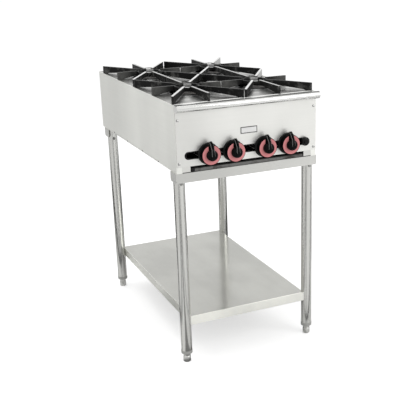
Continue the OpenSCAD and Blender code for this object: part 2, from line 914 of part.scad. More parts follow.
// Stem with its flat for the knob
module valve_stem(i) {
    color("silver") from_front() difference() {
        y_bar(stem_x[i], stem_z, stem_d, stem_tip_y, stem_seat_y - 1);
        block(
            [stem_x[i] - stem_d, stem_tip_y - eps, stem_z - stem_d],
            [stem_x[i] + stem_d, knob_back_y - 2, stem_z - stem_d / 2 + stem_flat]
        );
    }
}

// Half section of a knob's skirt and hub: radius, then distance ahead of the knob's back
function knob_section() = let (
    r = knob_d / 2,
    hub_r = knob_hub_d / 2,
    ring_r = r - rim_w,
    front = skirt_h + knob_hub_h
) [
    [0, skirt_h - 8],
    [r - 7, skirt_h - 8],
    [r - 7, 0],
    [r - 5, 0],
    [r - 3, 3],
    [r, skirt_h - 3],
    [r - 0.6, skirt_h - 1],
    [r - 1.6, skirt_h],
    [ring_r, skirt_h],
    [ring_r, skirt_h - ring_t],
    [hub_r, skirt_h - ring_t],
    [hub_r - 0.8, front - 5],
    [hub_r - 3, front - 1.5],
    [hub_r - 6, front],
    [0, front]
];

// Handle seen from the side: height over the axis, then distance ahead of the knob's back
function handle_side() = let (front = skirt_h + knob_hub_h) [
    [-knob_hub_d / 2 + 4, skirt_h + 0.4],
    [-knob_hub_d / 2 - 4, skirt_h + 0.4],
    [-knob_hub_d / 2 - 4, skirt_h + 6],
    [-knob_hub_d / 2, front - 1],
    [-knob_hub_d / 2 + 6, front + 2],
    [0, front + 3],
    [knob_hub_d / 2 + 3, front],
    [handle_reach - 4, skirt_h + 1],
    [handle_reach, skirt_h - 7],
    [handle_reach - 1, skirt_h - 10],
    [knob_d / 2 + 1, skirt_h - 8],
    [knob_d / 2 - 3, skirt_h - 2],
    [knob_hub_d / 2 - 4, skirt_h - 2]
];

// Handle seen from the front: half width narrows from the hub to the tip
module handle_front() {
    polygon([
        [-5, -knob_hub_d / 2 - 5],
        [5, -knob_hub_d / 2 - 5],
        [6, 0],
        [handle_tip_w / 2 + 1, knob_hub_d / 2 + 4],
        [handle_tip_w / 2, handle_reach + 1],
        [-handle_tip_w / 2, handle_reach + 1],
        [-handle_tip_w / 2 - 1, knob_hub_d / 2 + 4],
        [-6, 0]
    ]);
}

// Knob in its own frame: axis along +Z towards the user, pointer along +Y
module knob_body() {
    front = skirt_h + knob_hub_h;
    boss_d = stem_d + 7;
    difference() {
        union() {
            rotate_extrude() polygon(knob_section());
            intersection() {
                translate([0, 0, skirt_h - 12]) linear_extrude(knob_hub_h + 18) handle_front();
                translate([-20, 0, 0]) rotate([90, 0, 90]) linear_extrude(40) polygon(handle_side());
            }
            translate([0, 0, 2]) cylinder(d = boss_d, h = skirt_h - 8);
        }
        difference() {
            translate([0, 0, -eps]) cylinder(d = stem_d + 2 * run_fit, h = skirt_h - 4 + eps);
            translate([-stem_d, -stem_d - stem_d / 2 + stem_flat - run_fit, 4])
                cube([2 * stem_d, stem_d, skirt_h]);
        }
    }
}

module knob(i) {
    color("black") from_front()
        translate([stem_x[i], knob_back_y, stem_z]) rotate([90, 0, 0]) knob_body();
}

module knob_ring(i) {
    outer = knob_d / 2 - rim_w - run_fit;
    inner = knob_hub_d / 2 + run_fit;
    color("indianred") from_front() translate([stem_x[i], knob_back_y, stem_z]) rotate([90, 0, 0])
        translate([0, 0, skirt_h - ring_t]) difference() {
            cylinder(r = outer, h = ring_t - 0.1);
            translate([0, 0, -eps]) cylinder(r = inner, h = ring_t + 2 * eps);
            translate([-ring_gap / 2, 0, -eps]) cube([ring_gap, knob_d, ring_t + 2 * eps]);
        }
}

// Burners

// Mixing tube and head of one burner: air barrel at x, head over the point at
module burner(x, at) {
    run = [at[0] - x, at[1] - barrel_end_y];
    run_l = norm(run);
    turn = -atan2(run[0], run[1]);
    bore = tube_d - 2 * cast_t;
    neck_top = head_bottom + cast_t;
    r = head_d / 2;
    color("dimgray") from_front() difference() {
        union() {
            y_bar(x, stem_z, barrel_d, barrel_y, barrel_end_y - 6);
            translate([x, barrel_end_y - 6, stem_z]) rotate([-90, 0, 0])
                cylinder(d1 = barrel_d, d2 = tube_d, h = 6);
            translate([x, barrel_end_y, stem_z]) sphere(d = tube_d + bulge);
            translate([x, barrel_end_y, stem_z]) rotate([0, 0, turn]) rotate([-90, 0, 0])
                cylinder(d = tube_d, h = run_l);
            translate([at[0], at[1], stem_z]) sphere(d = tube_d + 2 * bulge);
            translate([at[0], at[1], stem_z]) cylinder(d = tube_d, h = neck_top - stem_z);
            translate([at[0], at[1], rail_top]) cylinder(d = pad_d, h = stem_z - rail_top);
            translate([at[0], at[1], rail_top - 6]) cylinder(d = spigot_d, h = 8);
            translate([at[0], at[1], head_bottom]) rotate_extrude() polygon([
                [0, 0],
                [tube_d / 2 + 6, 0],
                [r - 6, 9],
                [r, 12],
                [r, 15],
                [r - 6, head_h - 3],
                [r - 9, head_h],
                [16, head_h],
                [12, head_h - 3],
                [0, head_h - 3]
            ]);
        }
        y_bar(x, stem_z, barrel_d - 2 * cast_t, barrel_y + 3, barrel_end_y - 6);
        y_bar(x, stem_z, hood_d + 4, barrel_y - eps, barrel_y + 4);
        translate([x, barrel_end_y - 6 - eps, stem_z]) rotate([-90, 0, 0])
            cylinder(d1 = barrel_d - 2 * cast_t, d2 = bore, h = 6 + eps);
        translate([x, barrel_end_y, stem_z]) sphere(d = bore + bulge);
        translate([x, barrel_end_y, stem_z]) rotate([0, 0, turn]) rotate([-90, 0, 0])
            cylinder(d = bore, h = run_l);
        translate([at[0], at[1], stem_z]) sphere(d = bore + 2 * bulge);
        translate([at[0], at[1], stem_z]) cylinder(d = bore, h = neck_top - stem_z + 2);
        translate([at[0], at[1], head_bottom]) rotate_extrude() polygon([
            [0, cast_t],
            [tube_d / 2 + 4, cast_t],
            [r - 8, 12],
            [r - 5, 14],
            [r - 11, head_h - 6],
            [0, head_h - 6]
        ]);
        for (s = [0, 180])
            translate([x, barrel_y + 8, stem_z]) rotate([0, s + 90, 0])
                translate([-window_w / 2, 0, 0]) cube([window_w, window_l, barrel_d]);
        for (i = [0:ports - 1])
            translate([at[0], at[1], head_bottom + 14]) rotate([0, 0, (i + 0.5) * 360 / ports])
                translate([r - 14, 0, 0]) rotate([0, 60, 0]) cylinder(d = port_d, h = 20);
    }
}

// Sleeve that turns on the air barrel and closes its two windows
module air_shutter(i) {
    inner_d = barrel_d + 2 * free_gap;
    color("silver") from_front() difference() {
        y_bar(stem_x[i], stem_z, inner_d + 2 * shutter_t, barrel_y + 2, barrel_y + window_l + 12);
        y_bar(stem_x[i], stem_z, inner_d, barrel_y, barrel_y + window_l + 14);
        for (s = [0, 180])
            translate([stem_x[i], barrel_y + 8, stem_z]) rotate([0, s + 90, 0])
                translate([-window_w / 2, 0, 0]) cube([window_w, window_l, barrel_d]);
    }
}

// Drip tray: open pan with a hemmed front
module drip_tray() {
    t = 1;
    x = tray_w / 2;
    color("gray") from_front() {
        difference() {
            block([-x, 0.5, tray_z], [x, tray_d - 4, tray_top]);
            block([-x + t, 0.5 + 2 * t, tray_z + t], [x - t, tray_d - 4 - t, tray_top + eps]);
        }
    }
}

// Grates

// Side view of an arm: from the hub out to its foot
function arm_side(length) = [
    [0, grate_h - arm_h],
    [length * 0.45, grate_h - arm_h - 2],
    [length - arm_foot - 12, 3],
    [length - arm_foot, 0],
    [length + eps, 0],
    [length + eps, grate_h],
    [0, grate_h]
];

module grate_arm(angle, length) {
    rotate([0, 0, angle]) rotate([90, 0, 0]) translate([0, 0, -arm_t / 2])
        linear_extrude(arm_t) polygon(arm_side(length));
}

module grate(at) {
    diagonal = norm([grate_w, grate_d]) / 2;
    color([0.1, 0.1, 0.1]) from_front() translate([at[0], at[1], deck_z]) difference() {
        intersection() {
            union() {
                for (a = [0, 180]) grate_arm(a, grate_w / 2);
                for (a = [90, 270]) grate_arm(a, grate_d / 2);
                for (a = [hub_angle, 180 - hub_angle, 180 + hub_angle, -hub_angle])
                    grate_arm(a, diagonal);
                translate([0, 0, grate_h - arm_h - 1])
                    cylinder(d = grate_hub_d, h = arm_h + 1 - hub_drop);
            }
            translate([-grate_w / 2, -grate_d / 2, 0]) cube([grate_w, grate_d, grate_h]);
        }
        cylinder(d = grate_hub_d - 2 * hub_wall, h = grate_h + eps);
        translate([0, 0, grate_h - hub_drop]) cylinder(d = grate_hub_d - 1, h = hub_drop + eps);
    }
}

leg_front_left();
leg_front_right();
leg_rear_left();
leg_rear_right();
stand_rail_front();
stand_rail_rear();
undershelf();
shelf_clamps();
stand_screws();
leg_collars();
foot_front_left();
foot_front_right();
foot_rear_left();
foot_rear_right();
side_panel_left();
side_panel_right();
rear_panel();
base_frame();
tray_guides();
front_panel();
panel_screws();
side_rivets();
front_rail();
top_deck();
burner_rails();
manifold_pipe();
manifold_brackets();
supply_elbow();
supply_pipe();
gas_inlet();
gas_port_elbow();
gas_port_cap();
gas_valves();
orifice_hoods();
drip_tray();
valve_stem(0);  // valve_stem_1
valve_stem(1);  // valve_stem_2
valve_stem(2);  // valve_stem_3
valve_stem(3);  // valve_stem_4
knob(0);  // knob_1
knob(1);  // knob_2
knob(2);  // knob_3
knob(3);  // knob_4
knob_ring(0);  // knob_ring_1
knob_ring(1);  // knob_ring_2
knob_ring(2);  // knob_ring_3
knob_ring(3);  // knob_ring_4
burner(stem_x[0], burner_at[0]);  // burner_1
burner(stem_x[1], burner_at[1]);  // burner_2
burner(stem_x[2], burner_at[2]);  // burner_3
burner(stem_x[3], burner_at[3]);  // burner_4
air_shutter(0);  // air_shutter_1
air_shutter(1);  // air_shutter_2
air_shutter(2);  // air_shutter_3
air_shutter(3);  // air_shutter_4
grate(burner_at[0]);  // grate_1
grate(burner_at[1]);  // grate_2
grate(burner_at[2]);  // grate_3
grate(burner_at[3]);  // grate_4
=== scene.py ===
"""Looks of a four-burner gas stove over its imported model: metres, +Z up, front towards -Y."""

import logging
import math
from dataclasses import dataclass
from enum import Enum
from typing import Any, Optional, Sequence, Union

import bmesh
import bpy
from mathutils import Matrix, Vector


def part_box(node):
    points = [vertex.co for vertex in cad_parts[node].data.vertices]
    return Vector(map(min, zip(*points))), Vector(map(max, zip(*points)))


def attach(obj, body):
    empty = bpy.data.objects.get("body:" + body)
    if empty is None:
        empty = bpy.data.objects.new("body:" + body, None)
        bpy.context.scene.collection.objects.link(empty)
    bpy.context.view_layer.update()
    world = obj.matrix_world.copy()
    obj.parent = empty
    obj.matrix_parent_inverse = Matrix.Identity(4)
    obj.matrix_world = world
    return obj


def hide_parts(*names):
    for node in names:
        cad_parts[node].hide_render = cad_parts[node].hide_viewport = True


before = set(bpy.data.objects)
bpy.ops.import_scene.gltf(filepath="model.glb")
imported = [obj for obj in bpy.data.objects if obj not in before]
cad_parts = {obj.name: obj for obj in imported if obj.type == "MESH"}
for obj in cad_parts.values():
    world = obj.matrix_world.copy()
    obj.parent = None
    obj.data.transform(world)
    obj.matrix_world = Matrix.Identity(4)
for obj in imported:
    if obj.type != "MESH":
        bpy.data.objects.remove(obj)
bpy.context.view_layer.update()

LOG = logging.getLogger("stove")
MM = 0.001
SIDES = ("front_left", "front_right", "rear_left", "rear_right")
# Numbers of the knobs, valves, burners, shutters and grates
NUMBERS = range(1, 5)
# Level direction, X and Y, along which the painted highlights and reflections on the grates and deck are laid
# out; it is the camera's level view direction
HIGHLIGHT_WAY = (0.431, 0.902)
# Colour of the painted shade: sheet that stays in deep shade
SHADE_BLACK = (0.006, 0.0058, 0.0055)

Colour = tuple[float, float, float]


def rgba(colour: Colour, level: float = 1.0) -> tuple[float, float, float, float]:
    """The colour times level, with full alpha."""
    return (colour[0] * level, colour[1] * level, colour[2] * level, 1.0)


class Wire:
    """A shader socket that adds Math nodes when it is used in an expression."""

    def __init__(self, nodes: "Nodes", socket: bpy.types.NodeSocket) -> None:
        """Keeps the socket and the nodes that it belongs to."""
        self.nodes = nodes
        self.socket = socket

    def _math(self, operation: str, *values: "Value") -> "Wire":
        """A Math node over the values."""
        return self.nodes.add("ShaderNodeMath", {"operation": operation}, dict(enumerate(values)))

    def __add__(self, other: "Value") -> "Wire":
        """self + other."""
        return self._math("ADD", self, other)

    def __sub__(self, other: "Value") -> "Wire":
        """self - other."""
        return self._math("SUBTRACT", self, other)

    def __mul__(self, other: "Value") -> "Wire":
        """self * other."""
        return self._math("MULTIPLY", self, other)

    def __rsub__(self, other: "Value") -> "Wire":
        """other - self."""
        return self._math("SUBTRACT", other, self)

    def size(self) -> "Wire":
        """The value without its sign."""
        return self._math("ABSOLUTE", self)

    def least(self, other: "Value") -> "Wire":
        """The smaller of the two."""
        return self._math("MINIMUM", self, other)

    def most(self, other: "Value") -> "Wire":
        """The larger of the two."""
        return self._math("MAXIMUM", self, other)

    def sign(self) -> "Wire":
        """1 or -1, as the value is over or under 0."""
        return self._math("SIGN", self)

    def reach(self, other: "Wire") -> "Wire":
        """Length of the level arrow (self, other)."""
        return self._math("SQRT", self * self + other * other)

    __radd__ = __add__
    __rmul__ = __mul__


Value = Union[float, Wire]


class Nodes:
    """Node tree of a material or of the surroundings."""

    def __init__(self, owner: Union[bpy.types.Material, bpy.types.World]) -> None:
        """Gives the owner an empty tree.

        Args:
            owner: the material or the world.
        """
        owner.use_nodes = True
        self.tree = owner.node_tree
        self.tree.nodes.clear()

    def add(
        self,
        kind: str,
        settings: Optional[dict[str, Any]] = None,
        sockets: Optional[dict[Union[int, str], Any]] = None,
        out: Union[int, str] = 0,
    ) -> Wire:
        """Adds any node.

        Args:
            kind: the node's type.
            settings: the node's properties, set first.
            sockets: values or wires for the inputs.
            out: the output to return.

        Returns:
            The wire of that output.
        """
        node = self.tree.nodes.new(kind)
        for key, value in (settings or {}).items():
            setattr(node, key, value)
        for key, value in (sockets or {}).items():
            self.feed(node.inputs[key], value)
        return Wire(self, node.outputs[out])

    def feed(self, socket: bpy.types.NodeSocket, value: Any) -> None:
        """Links a wire to a socket, or sets its value.

        Args:
            socket: the input.
            value: a wire, or a value of the socket's kind.
        """
        if isinstance(value, Wire):
            self.tree.links.new(value.socket, socket)
        else:
            socket.default_value = value


class Shader(Nodes):
    """Nodes of one material: a Principled surface and what feeds it."""

    def __init__(self, name: str) -> None:
        """Makes a material with a Principled surface.

        Args:
            name: the material's name.
        """
        self.material = bpy.data.materials.new(name)
        super().__init__(self.material)
        self.surface = self.tree.nodes.new("ShaderNodeBsdfPrincipled")
        end = self.tree.nodes.new("ShaderNodeOutputMaterial")
        self.tree.links.new(self.surface.outputs[0], end.inputs["Surface"])

    def set(self, **values: Any) -> None:
        """Feeds the Principled inputs, named with underscores for blanks."""
        for key, value in values.items():
            self.feed(self.surface.inputs[key.replace("_", " ")], value)

    def place(self, stretch: Sequence[float] = (1.0, 1.0, 1.0)) -> Wire:
        """Object coordinates, scaled along each axis."""
        spot = self.add("ShaderNodeTexCoord", out="Object")
        return self.add("ShaderNodeMapping", {}, {"Vector": spot, "Scale": tuple(stretch)})

    def noise(self, vector: Wire, scale: float = 1.0, detail: float = 2.0, rough: float = 0.5) -> Wire:
        """Noise between 0 and 1."""
        return self.add(
            "ShaderNodeTexNoise",
            {},
            {"Vector": vector, "Scale": scale, "Detail": detail, "Roughness": rough},
            "Fac",
        )

    def ease(self, value: Wire, low: float, high: float, to_low: float = 0.0, to_high: float = 1.0) -> Wire:
        """Smooth step of value from low to high."""
        return self.add(
            "ShaderNodeMapRange",
            {"interpolation_type": "SMOOTHSTEP"},
            {"Value": value, "From Min": low, "From Max": high, "To Min": to_low, "To Max": to_high},
        )

    def mix(self, factor: Value, first: Any, second: Any, blend: str = "MIX") -> Wire:
        """Mixes two colours."""
        return self.add(
            "ShaderNodeMix",
            {"data_type": "RGBA", "blend_type": blend},
            {0: factor, 6: first, 7: second},
            2,
        )

    def along(self, axis: str) -> Wire:
        """Place along one axis at rest, in metres."""
        spot = self.add("ShaderNodeTexCoord", out="Object")
        return self.add("ShaderNodeSeparateXYZ", {}, {0: spot}, axis)

    def bump(self, height: Wire, distance: float, strength: float = 1.0) -> Wire:
        """Normal bent by a height."""
        return self.add(
            "ShaderNodeBump", {}, {"Height": height, "Distance": distance, "Strength": strength}, "Normal"
        )


@dataclass(frozen=True)
class PaintedShade:
    """Painted shade: black part of a surface where shade falls, inside the body, in gaps and in recesses; it
    is where all of the given limits hold, in metres at rest.

    Args:
        below: largest height.
        above: least height.
        behind: least depth along Y.
        ahead: largest depth along Y.
        between: largest distance from the middle plane.
        left_of: largest place along X.
        strength: how black the part is, from 0 to 1.
    """

    below: Optional[float] = None
    above: Optional[float] = None
    behind: Optional[float] = None
    ahead: Optional[float] = None
    between: Optional[float] = None
    left_of: Optional[float] = None
    strength: float = 1.0

    def mask(self, s: Shader) -> Wire:
        """Finds how black a point is.

        Args:
            s: the shader of the surface.

        Returns:
            A value from 0 to the strength.
        """
        edge = 0.0002
        found: Value = self.strength
        for axis, limit, low, high in (
            ("Z", self.below, 1.0, 0.0),
            ("Z", self.above, 0.0, 1.0),
            ("Y", self.behind, 0.0, 1.0),
            ("Y", self.ahead, 1.0, 0.0),
            ("X", self.left_of, 1.0, 0.0),
        ):
            if limit is not None:
                found = s.ease(s.along(axis), limit - edge, limit + edge, low, high) * found
        if self.between is not None:
            off = s.along("X").size()
            found = s.ease(off, self.between - edge, self.between + edge, 1.0, 0.0) * found
        return found


def ahead_and_beside(u: Wire, v: Wire) -> tuple[Wire, Wire]:
    """Distances from a hub along the level way of the painted highlights and reflections, and square to it
    without sign.
    """
    return u * HIGHLIGHT_WAY[0] + v * HIGHLIGHT_WAY[1], (u * HIGHLIGHT_WAY[1] - v * HIGHLIGHT_WAY[0]).size()


def shade_of(s: Shader, shaded_parts: Sequence[PaintedShade]) -> Value:
    """Finds how black a point is over all of the parts.

    Args:
        s: the shader of the surface.
        shaded_parts: the black parts of the painted shade.

    Returns:
        A value from 0 to 1.
    """
    total: Value = 0.0
    for part in shaded_parts:
        total = part.mask(s).most(total)
    return total


@dataclass(frozen=True)
class Fade:
    """Change of a finish's level along an axis.

    Args:
        axis: X, Y or Z.
        start: where the change begins, in metres.
        end: where it ends.
        low: level before the start.
        high: level after the end.
    """

    axis: str
    start: float
    end: float
    low: float
    high: float

    def level(self, s: Shader) -> Wire:
        """The level at a point."""
        return s.ease(s.along(self.axis), self.start, self.end, self.low, self.high)


class Grain(Enum):
    """Direction of the brush lines, as noise scales along X, Y and Z."""

    UPRIGHT = (1300.0, 1300.0, 14.0)
    ACROSS = (14.0, 1300.0, 1300.0)
    LENGTHWAYS = (1300.0, 14.0, 1300.0)


@dataclass(frozen=True)
class BrushedSteel:
    """Brushed stainless sheet or tube.

    Args:
        name: the material's name.
        tone: reflected colour.
        roughness: mean roughness.
        grain: direction of the brush lines.
        drift: scales of the soft tone bands along X, Y and Z.
        depth: strength of those bands.
        shaded_parts: its black parts, painted as shade.
        fades: changes of its level along an axis.
        blurs: roughness added along an axis.
    """

    name: str
    tone: Colour
    roughness: float = 0.3
    grain: Grain = Grain.UPRIGHT
    drift: tuple[float, float, float] = (6.0, 6.0, 1.5)
    depth: float = 0.06
    shaded_parts: tuple[PaintedShade, ...] = ()
    fades: tuple[Fade, ...] = ()
    blurs: tuple[Fade, ...] = ()

    def make(self) -> bpy.types.Material:
        """Builds the finish.

        Returns:
            The material.
        """
        s = Shader(self.name)
        lines = s.noise(s.place(self.grain.value), detail=3.0)
        streak = s.noise(s.place([v / 9 for v in self.grain.value]), detail=2.0)
        band = s.noise(s.place(self.drift), detail=2.0, rough=0.45)
        smear = s.noise(s.place((11.0, 11.0, 11.0)), detail=5.0, rough=0.6)
        shade = s.ease(band, 0.3, 0.7) * 0.6 + smear * 0.4
        colour = s.mix(shade, rgba(self.tone, 1 - self.depth), rgba(self.tone, 1 + self.depth))
        colour = s.mix(streak * 0.16, colour, rgba(self.tone, 0.72))
        # Painted light and shade: the level changes along an axis
        for fade in self.fades:
            level = fade.level(s)
            colour = s.add("ShaderNodeVectorMath", {"operation": "SCALE"}, {0: colour, "Scale": level})
        # Painted shade: black where the shaded parts lie
        black = shade_of(s, self.shaded_parts)
        rough = lines * 0.10 + smear * 0.10 + black * 0.6 + (self.roughness - 0.10)
        for blur in self.blurs:
            rough = rough + blur.level(s)
        s.set(
            Base_Color=s.mix(black, colour, rgba(SHADE_BLACK)),
            Metallic=1.0 - black,
            Roughness=rough,
            Normal=s.bump(lines * 0.6 + streak * 0.4, 0.00003, 0.5),
        )
        return s.material


@dataclass(frozen=True)
class CastIron:
    """Black cast iron.

    Args:
        name: the material's name.
        base: colour of the seasoned skin.
        dust: colour of its rough grey patches.
        sheen: strength of the mirrored light on the skin.
    """

    name: str
    base: Colour
    dust: Colour
    sheen: float = 0.2

    def make(self) -> bpy.types.Material:
        """Builds the finish.

        Returns:
            The material.
        """
        s = Shader(self.name)
        pebble = s.noise(s.place((700.0,) * 3), detail=4.0, rough=0.65)
        lump = s.noise(s.place((90.0,) * 3), detail=3.0)
        patch = s.ease(s.noise(s.place((26.0,) * 3), detail=4.0, rough=0.6), 0.5, 0.72)
        colour, rough, metal = self._painted_shine(s, s.mix(patch * 0.8, rgba(self.base), rgba(self.dust)), lump)
        s.set(
            Base_Color=colour,
            Metallic=metal,
            Roughness=rough + pebble * 0.16 + patch * 0.2,
            Specular_IOR_Level=self.sheen,
            Normal=s.bump(pebble * 0.6 + lump * 0.4, 0.0005, 0.55),
        )
        return s.material

    def _painted_shine(self, s: Shader, colour: Wire, lump: Wire) -> tuple[Wire, Value, Value]:
        """Colour, roughness and metal with the painted highlights; plain iron has none."""
        return colour, 0.42, 0.0


@dataclass(frozen=True)
class GrateIron(CastIron):
    """Cast iron of one grate: painted highlights and reflections on the arms' tops, the hub's rim, the bore
    wall and one arm's face, laid out along the camera's level view, and paler side arms.

    Args:
        hub: middle of the grate, X and Y in metres.
        top: height of the arms' tops.
        slant: sine and cosine of the slanting arms' turn from Y.
        bore: radius of the hub's bore.
        ring: radius of the hub.
        drop: depth of the hub's rim under the arms' tops.
        face_reflection: strength of the painted reflection on the right-hand face of the slanting arm behind
            the hub.
    """

    hub: tuple[float, float] = (0.0, 0.0)
    top: float = 0.0
    slant: tuple[float, float] = (0.5, 0.8)
    bore: float = 0.039
    ring: float = 0.046
    drop: float = 0.0035
    face_reflection: float = 0.0

    def _painted_shine(self, s: Shader, colour: Wire, lump: Wire) -> tuple[Wire, Value, Value]:
        """Adds the painted highlights on the tops, rim and bore wall, the painted reflection on the
        right-hand face, and the paler side arms.

        Args:
            s: the shader.
            colour: colour of the plain iron.
            lump: coarse noise of the casting.

        Returns:
            Colour, roughness and metal.
        """
        u = s.along("X") - self.hub[0]
        v = s.along("Y") - self.hub[1]
        z = s.along("Z")
        r = u.reach(v)
        ahead, beside = ahead_and_beside(u, v)
        off = u * self.slant[1] - v * self.slant[0]
        slanting = s.ease(off.size(), 0.005, 0.008, 1.0, 0.0)
        straight = s.ease(u.size(), 0.004, 0.007, 0.62, 0.0)
        outside = s.ease(r, self.ring, self.ring + 0.002)
        # Painted highlight on the arms' tops: full on the slanting arms, weaker on the arms along Y, faint on
        # the rest
        tops = s.ease(z + lump * 0.0004, self.top - 0.0009, self.top)
        tops = tops * slanting.most(straight).most(0.05) * outside
        # Painted highlight on the near side of the hub's rim, in a band along the view
        lit = s.ease(beside, 0.011, 0.015, 1.0, 0.0)
        seat = self.top - self.drop
        rim = s.ease(z, seat - 0.0006, seat - 0.0001) * s.ease(ahead, -0.03, -0.038, 0.0, 0.9) * lit
        rim = rim * s.ease(r, self.ring, self.ring + 0.001, 1.0, 0.0)
        # Painted reflection on the far side of the bore wall
        wall = s.ease(r, self.bore + 0.0003, self.bore + 0.0009, 1.0, 0.0)
        wall = wall * s.ease(ahead, 0.0, 0.01) * lit * 0.6
        # The arms along X are paler, in the dust colour
        side = s.ease(v.size(), 0.006, 0.009, 1.0, 0.0) * s.ease(r, 0.05, 0.11, 0.0, 0.9)
        colour = s.mix(side * (lump * 0.6 + 0.5), colour, rgba(self.dust))
        # Painted reflection on the right-hand face of the slanting arm behind the hub
        face = s.ease(off, 0.002, 0.0028) * s.ease(off, 0.008, 0.011, 1.0, 0.0)
        face = face * s.ease(ahead, 0.055, 0.09) * (lump * 0.5 + 0.75) * self.face_reflection
        # Where the painted highlights and reflections lie, the iron becomes pale, smooth metal
        painted_shine = tops.most(rim).most(wall).most(face)
        return s.mix(painted_shine, colour, rgba((0.78, 0.78, 0.77))), 0.42 - painted_shine * 0.2, painted_shine


@dataclass(frozen=True)
class DeckSteel:
    """Steel of the deck, with painted shade under the grates' arms and round the burners, a painted
    reflection in front of each hub and a painted highlight along its front edge.

    Args:
        name: the material's name.
        tone: reflected colour.
        hub: middle of the front right grate, X and Y in metres.
        middle: place along Y half way between the rows.
        slant: sine and cosine of the slanting arms' turn from Y.
        opening: radius of the painted shade round a burner.
        lip: place along Y where the painted highlight along the front edge ends.
        skin: height below which the sheet is painted black as shade.
    """

    name: str
    tone: Colour
    hub: tuple[float, float]
    middle: float
    slant: tuple[float, float]
    opening: float
    lip: float
    skin: float

    def make(self) -> bpy.types.Material:
        """Builds the finish.

        Returns:
            The material.
        """
        s = Shader(self.name)
        x, y = s.along("X"), s.along("Y")
        across = x - x.sign() * self.hub[0]
        along = y - self.middle - (y - self.middle).sign() * abs(self.hub[1] - self.middle)
        u, v = across.size(), along.size()
        smear = s.noise(s.place((14.0, 9.0, 9.0)), detail=5.0, rough=0.6)
        lines = s.noise(s.place(Grain.LENGTHWAYS.value), detail=3.0)
        near = u.least(v).least((u * self.slant[1] - v * self.slant[0]).size())
        # Painted shade beneath the grates' arms and round each burner, left off the front edge
        under = s.ease(near + smear * 0.006, 0.004, 0.022, 0.66, 0.0)
        burner_shade = s.ease(u.reach(v) + smear * 0.004, self.opening, self.opening + 0.006, 1.0, 0.0)
        # Painted highlight along the front edge, which is also duller and less metallic
        lip = s.ease(y, self.lip - 0.001, self.lip + 0.001, 1.0, 0.0)
        deck_shade = under.most(burner_shade) * (1.0 - lip)
        ahead, beside = ahead_and_beside(across, along)
        # Painted reflection: a bright patch in front of each hub
        hub_reflection = s.ease(beside, 0.012, 0.03, 1.0, 0.0)
        hub_reflection = hub_reflection * s.ease(ahead, -0.02, 0.0, 1.0, 0.0) * s.ease(ahead, -0.17, -0.14, 0.0, 1.0)
        colour = s.mix(smear, rgba(self.tone, 0.9), rgba(self.tone, 1.1))
        colour = s.mix(hub_reflection.most(lip), colour, rgba((0.86, 0.86, 0.84)))
        colour = s.mix(deck_shade, colour, rgba((0.012, 0.012, 0.012)))
        # Painted shade: the sheet below its top skin is black
        black = PaintedShade(below=self.skin).mask(s)
        s.set(
            Base_Color=s.mix(black, colour, rgba(SHADE_BLACK)),
            Metallic=1.0 - black.most(lip * 0.85),
            Roughness=lines * 0.08 + smear * 0.12 + lip * 0.35 + black * 0.6 + 0.2,
            Normal=s.bump(lines, 0.00003, 0.5),
        )
        return s.material


@dataclass(frozen=True)
class Moulded:
    """Moulded plastic or lacquer.

    Args:
        name: the material's name.
        base: its colour.
        roughness: mean roughness.
        coat: weight of the clear gloss on top.
        texture: height of the fine skin, in metres.
        sheen: strength of the mirrored light.
        bend: index of refraction.
    """

    name: str
    base: Colour
    roughness: float = 0.3
    coat: float = 0.0
    texture: float = 0.00002
    sheen: float = 0.5
    bend: float = 1.45

    def make(self) -> bpy.types.Material:
        """Builds the finish.

        Returns:
            The material.
        """
        s = Shader(self.name)
        skin = s.noise(s.place((1500.0,) * 3), detail=2.0)
        rub = s.noise(s.place((45.0,) * 3), detail=4.0, rough=0.6)
        s.set(
            Base_Color=s.mix(rub * 0.35, rgba(self.base), rgba(self.base, 1.5)),
            Roughness=rub * 0.14 + (self.roughness - 0.05),
            Coat_Weight=self.coat,
            Coat_Roughness=0.08,
            Specular_IOR_Level=self.sheen,
            IOR=self.bend,
            Normal=s.bump(skin, self.texture, 0.4),
        )
        return s.material


@dataclass(frozen=True)
class Tarnished:
    """Plain metal with dull patches: brass, zinc, plating, or a tray dark from wear and from painted shade.

    Args:
        name: the material's name.
        bright: clean colour.
        dull: tarnished colour.
        roughness: mean roughness.
        patches: scale of the dull patches, per metre.
        spread: how much of the surface is dull.
        shaded_parts: its black parts, painted as shade.
    """

    name: str
    bright: Colour
    dull: Colour
    roughness: float = 0.35
    patches: float = 25.0
    spread: float = 0.5
    shaded_parts: tuple[PaintedShade, ...] = ()

    def make(self) -> bpy.types.Material:
        """Builds the finish.

        Returns:
            The material.
        """
        s = Shader(self.name)
        spot = s.noise(s.place((self.patches,) * 3), detail=6.0, rough=0.62)
        fine = s.noise(s.place((800.0,) * 3), detail=2.0)
        dull = s.ease(spot, 0.72 - 0.5 * self.spread, 0.92 - 0.5 * self.spread)
        # Painted shade: black where the shaded parts lie
        black = shade_of(s, self.shaded_parts)
        s.set(
            Base_Color=s.mix(black, s.mix(dull, rgba(self.bright), rgba(self.dull)), rgba(SHADE_BLACK)),
            Metallic=1.0 - black,
            Roughness=dull * 0.2 + fine * 0.08 + black * 0.5 + (self.roughness - 0.04),
            Normal=s.bump(fine, 0.00004, 0.5),
        )
        return s.material


